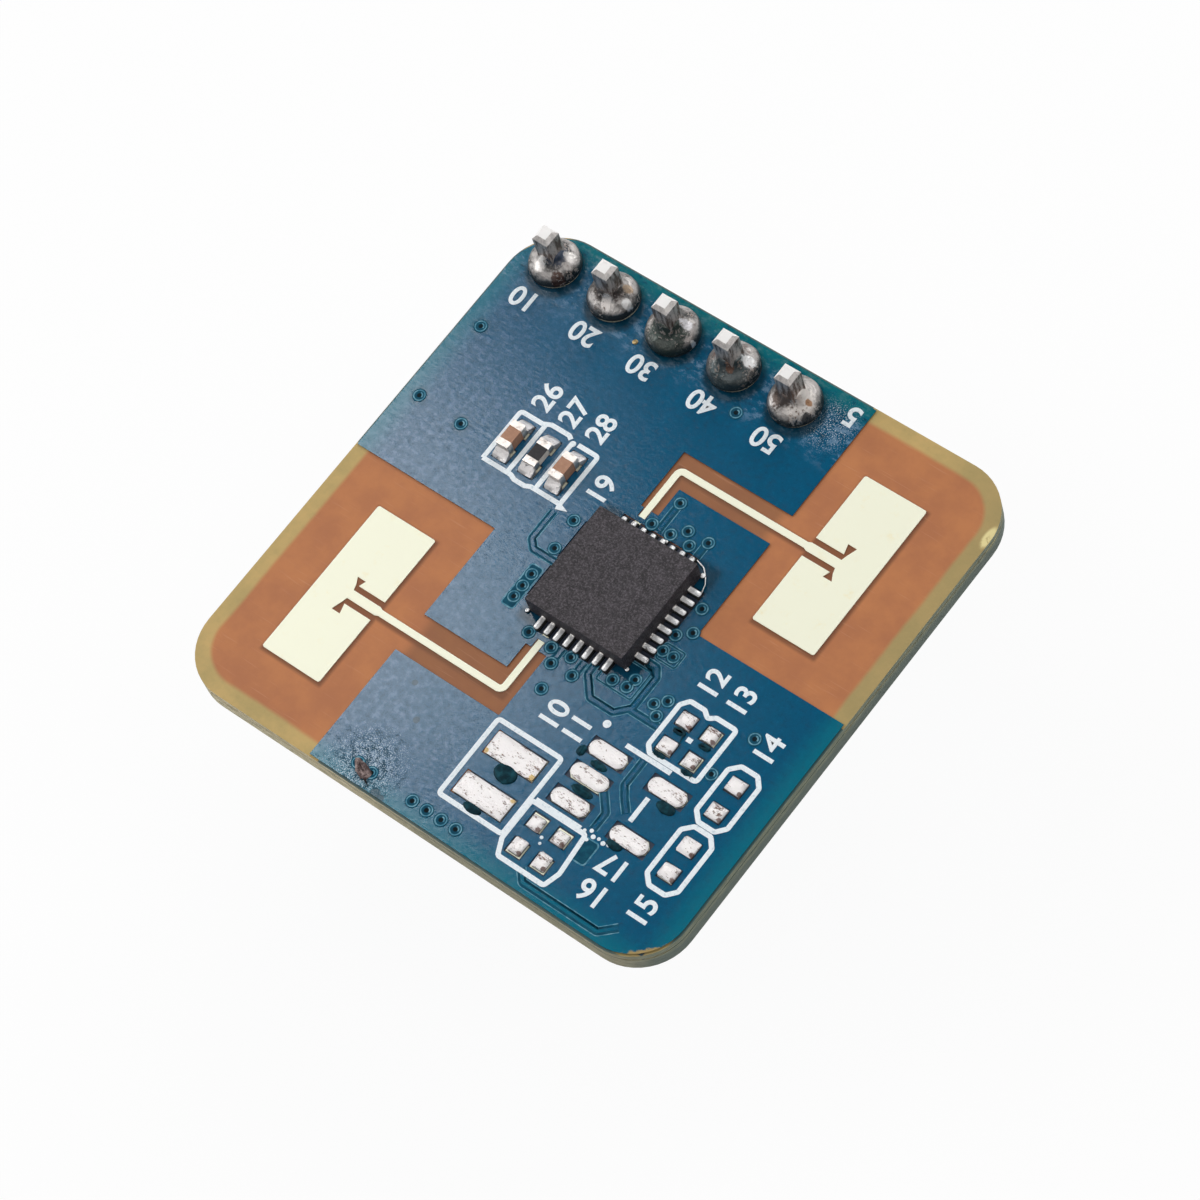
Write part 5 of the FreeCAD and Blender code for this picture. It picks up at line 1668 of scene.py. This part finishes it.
@dataclass
class FrontParts:
    """The framed row of two capacitors and a resistor, and the finishes of the back's parts."""

    places: tuple[Pair, ...] = ((-5.455, 2.62), (-4.36, 2.63), (-3.23, 2.61))
    half_length: float = 0.5
    overlap: float = 0.02
    foot: Triple = (0.58, 0.34, 0.30)
    toe: float = 0.06
    sloping: float = 0.2
    cuts: int = 2
    rough: float = 0.03
    seed: int = 8
    rounding: float = 0.06
    segments: int = 2

    def build(self, finishes: Finishes) -> None:
        """Dresses the parts and lays their sloping solder.

        Args:
            finishes: The materials.
        """
        names = list(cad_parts)
        dress(finishes.ceramic, *(n for n in names if "capacitor" in n and n.endswith("_body")))
        dress(finishes.alumina, "crystal_base", *(n for n in names if n.endswith("_slab")))
        dress(finishes.coat, *(n for n in names if n.endswith("_coat")))
        caps = [n for n in names if n.endswith("terminals") and "chip" not in n]
        dress(finishes.cap_metal, *caps)
        dress(finishes.lead, "controller_ground_pad")
        dress(finishes.lid, "crystal_lid")
        dress(finishes.bead, "controller_solder", "back_part_solder", "crystal_solder")
        base = BOARD.over(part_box("front_part_solder")[0].z)
        feet = [self._foot(x, y, end, base) for x, y in self.places for end in (-1, 1)]
        Bench.finish(
            "front_part_fillets", feet, finishes.fillet, "solder", ["front_part_solder"], angle=60.0
        )

    def _foot(self, x: float, y: float, end: int, base: float) -> Piece:
        """Makes the solder slope at one end of a part.

        Args:
            x: The part's middle along the pin row in mm.
            y: The part's middle towards the header in mm.
            end: 1 for the end at the header's side, -1 for the other.
            base: Height of the land's top over the solder mask in mm.

        Returns:
            The slope.
        """
        wide, deep, tall = self.foot
        away = end * (self.half_length + deep / 2 - self.overlap)
        middle = BOARD.point(x, y + away, base + self.toe / 2)
        foot = Bench.cube("foot", (wide, deep, self.toe), middle)
        inward = middle.y - end * deep * MM / 2
        with Bench.editing(
            foot, Side.EDGES, lambda spot, way: spot.z > middle.z and abs(spot.y - inward) < SNAP
        ):
            bpy.ops.transform.translate(value=(0.0, 0.0, (tall - self.toe) * MM))
        with Bench.editing(foot, Side.FACES, lambda spot, way: way.z > self.sloping):
            bpy.ops.mesh.subdivide(number_cuts=self.cuts)
        with Bench.editing(foot, Side.EDGES, lambda spot, way: spot.z > middle.z):
            Bench.roughen(self.rough, self.seed)
        with Bench.editing(foot, Side.EDGES, lambda spot, way: abs(way.z) > UPRIGHT):
            Bench.round_off(self.rounding, self.segments)
        return foot


@dataclass
class Header:
    """Five square pins, their insulator and their solder."""

    corners: int = 28
    profile: tuple[Pair, ...] = (
        (0.00, 0.90), (0.10, 0.97), (0.28, 0.96), (0.44, 0.90), (0.56, 0.78),
        (0.64, 0.66), (0.72, 0.54), (0.85, 0.45), (1.00, 0.40), (1.10, 0.36),
    )
    rough: float = 0.05
    seed: int = 4
    smooth_foot: float = 0.06
    turns: tuple[float, ...] = (0.0, 95.0, 200.0, 310.0, 45.0)
    sizes: tuple[float, ...] = (0.97, 0.96, 1.0, 0.97, 0.98)

    def build(self, finishes: Finishes) -> None:
        """Dresses the pins and makes each solder joint.

        Args:
            finishes: The materials.
        """
        dress(finishes.plastic, "header_insulator")
        start = self._foot(1)
        first = self._joint(start)
        for number, (turn, grow) in enumerate(zip(self.turns, self.sizes), 1):
            dress(finishes.pin, f"header_pin_{number}")
            name = f"solder_joint_{number}"
            away = Matrix.Translation(self._foot(number) - start)
            joint = Bench.copy(first, name, away @ turned_about(start, turn, (grow, grow, grow)))
            solid = [f"header_solder_{number}"]
            Bench.finish(name, [joint], finishes.cone, "solder", solid, angle=70.0)
        bpy.data.objects.remove(first)

    @staticmethod
    def _foot(number: int) -> Vector:
        """Gives the middle of a solder joint's underside.

        Args:
            number: Which pin it is, from 1.

        Returns:
            The place in row-frame metres.
        """
        low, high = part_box(f"header_solder_{number}")
        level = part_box("header_barrels")[1].z
        return Vector(((low.x + high.x) / 2, (low.y + high.y) / 2, level))

    def _joint(self, foot: Vector) -> Piece:
        """Draws one joint up the pin, ring by ring.

        Args:
            foot: The middle of its underside in row-frame metres.

        Returns:
            The joint.
        """
        level, radius = self.profile[0]
        joint = Bench.disc("joint", radius, foot, self.corners)
        with Bench.editing(joint, Side.FACES):
            for height, wide in self.profile[1:]:
                Bench.lift(height - level)
                Bench.resize(wide / radius, wide / radius, foot)
                level, radius = height, wide
        floor = foot.z + self.smooth_foot * MM
        with Bench.editing(
            joint, Side.EDGES, lambda spot, way: spot.z > floor and abs(way.z) < LEVEL
        ):
            Bench.roughen(self.rough, self.seed)
        smooth = joint.modifiers.new("smooth", "SUBSURF")
        smooth.levels = smooth.render_levels = 1
        bpy.ops.object.modifier_apply(modifier=smooth.name)
        return joint


@dataclass
class Wear:
    """The burnt blister at the lower edge and the gold dot by the header."""

    blister: Triple = (-2.08, -9.45, 0.30)
    corners: int = 16
    ragged: float = 0.16
    seed: int = 9
    spread: Triple = (1.6, 0.75, 0.0)
    turn: float = 24.0
    height: float = 0.03
    rims: tuple[Pair, ...] = ((0.06, 0.03), (0.07, -0.03))
    dot: Triple = (-4.32, 7.78, 0.1)
    dot_corners: int = 14
    dot_height: float = 0.02
    dot_soft: float = 0.006

    def build(self, finishes: Finishes) -> None:
        """Makes the marks that stand proud.

        Args:
            finishes: The materials.
        """
        x, y, radius = self.blister
        middle = BOARD.point(x, y)
        flake = Bench.disc("mask_blister", radius, middle, self.corners)
        with Bench.editing(flake, Side.EDGES):
            Bench.roughen(self.ragged, self.seed)
            bpy.ops.transform.resize(value=self.spread)
            bpy.ops.transform.rotate(
                value=math.radians(self.turn), orient_axis="Z", center_override=middle
            )
        with Bench.editing(flake, Side.FACES):
            Bench.lift(self.height)
            Bench.inset(*self.rims)
        Bench.finish("mask_blister", [flake], finishes.burn, "solder_mask", angle=30.0)
        ring = [Outline.circle(*self.dot, self.dot_corners)]
        dot = Outline.raise_up("gold_dot", ring, self.dot_height, self.dot_soft)
        Bench.finish("gold_dot", [dot], finishes.tin, "gold_plate")


def main() -> None:
    """Builds the studio and dresses the board."""
    logging.basicConfig(level=logging.INFO, format="%(name)s %(message)s")
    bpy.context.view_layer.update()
    Studio().build()
    finishes = Finishes()
    for assembly in (
        BoardStack(), MaskRelief(), PrintedOutlines(), RadarChip(), SpareLands(), FrontParts(),
        Header(), Wear(),
    ):
        assembly.build(finishes)
        LOG.info("%s done", type(assembly).__name__)


if __name__ == "__main__":
    main()
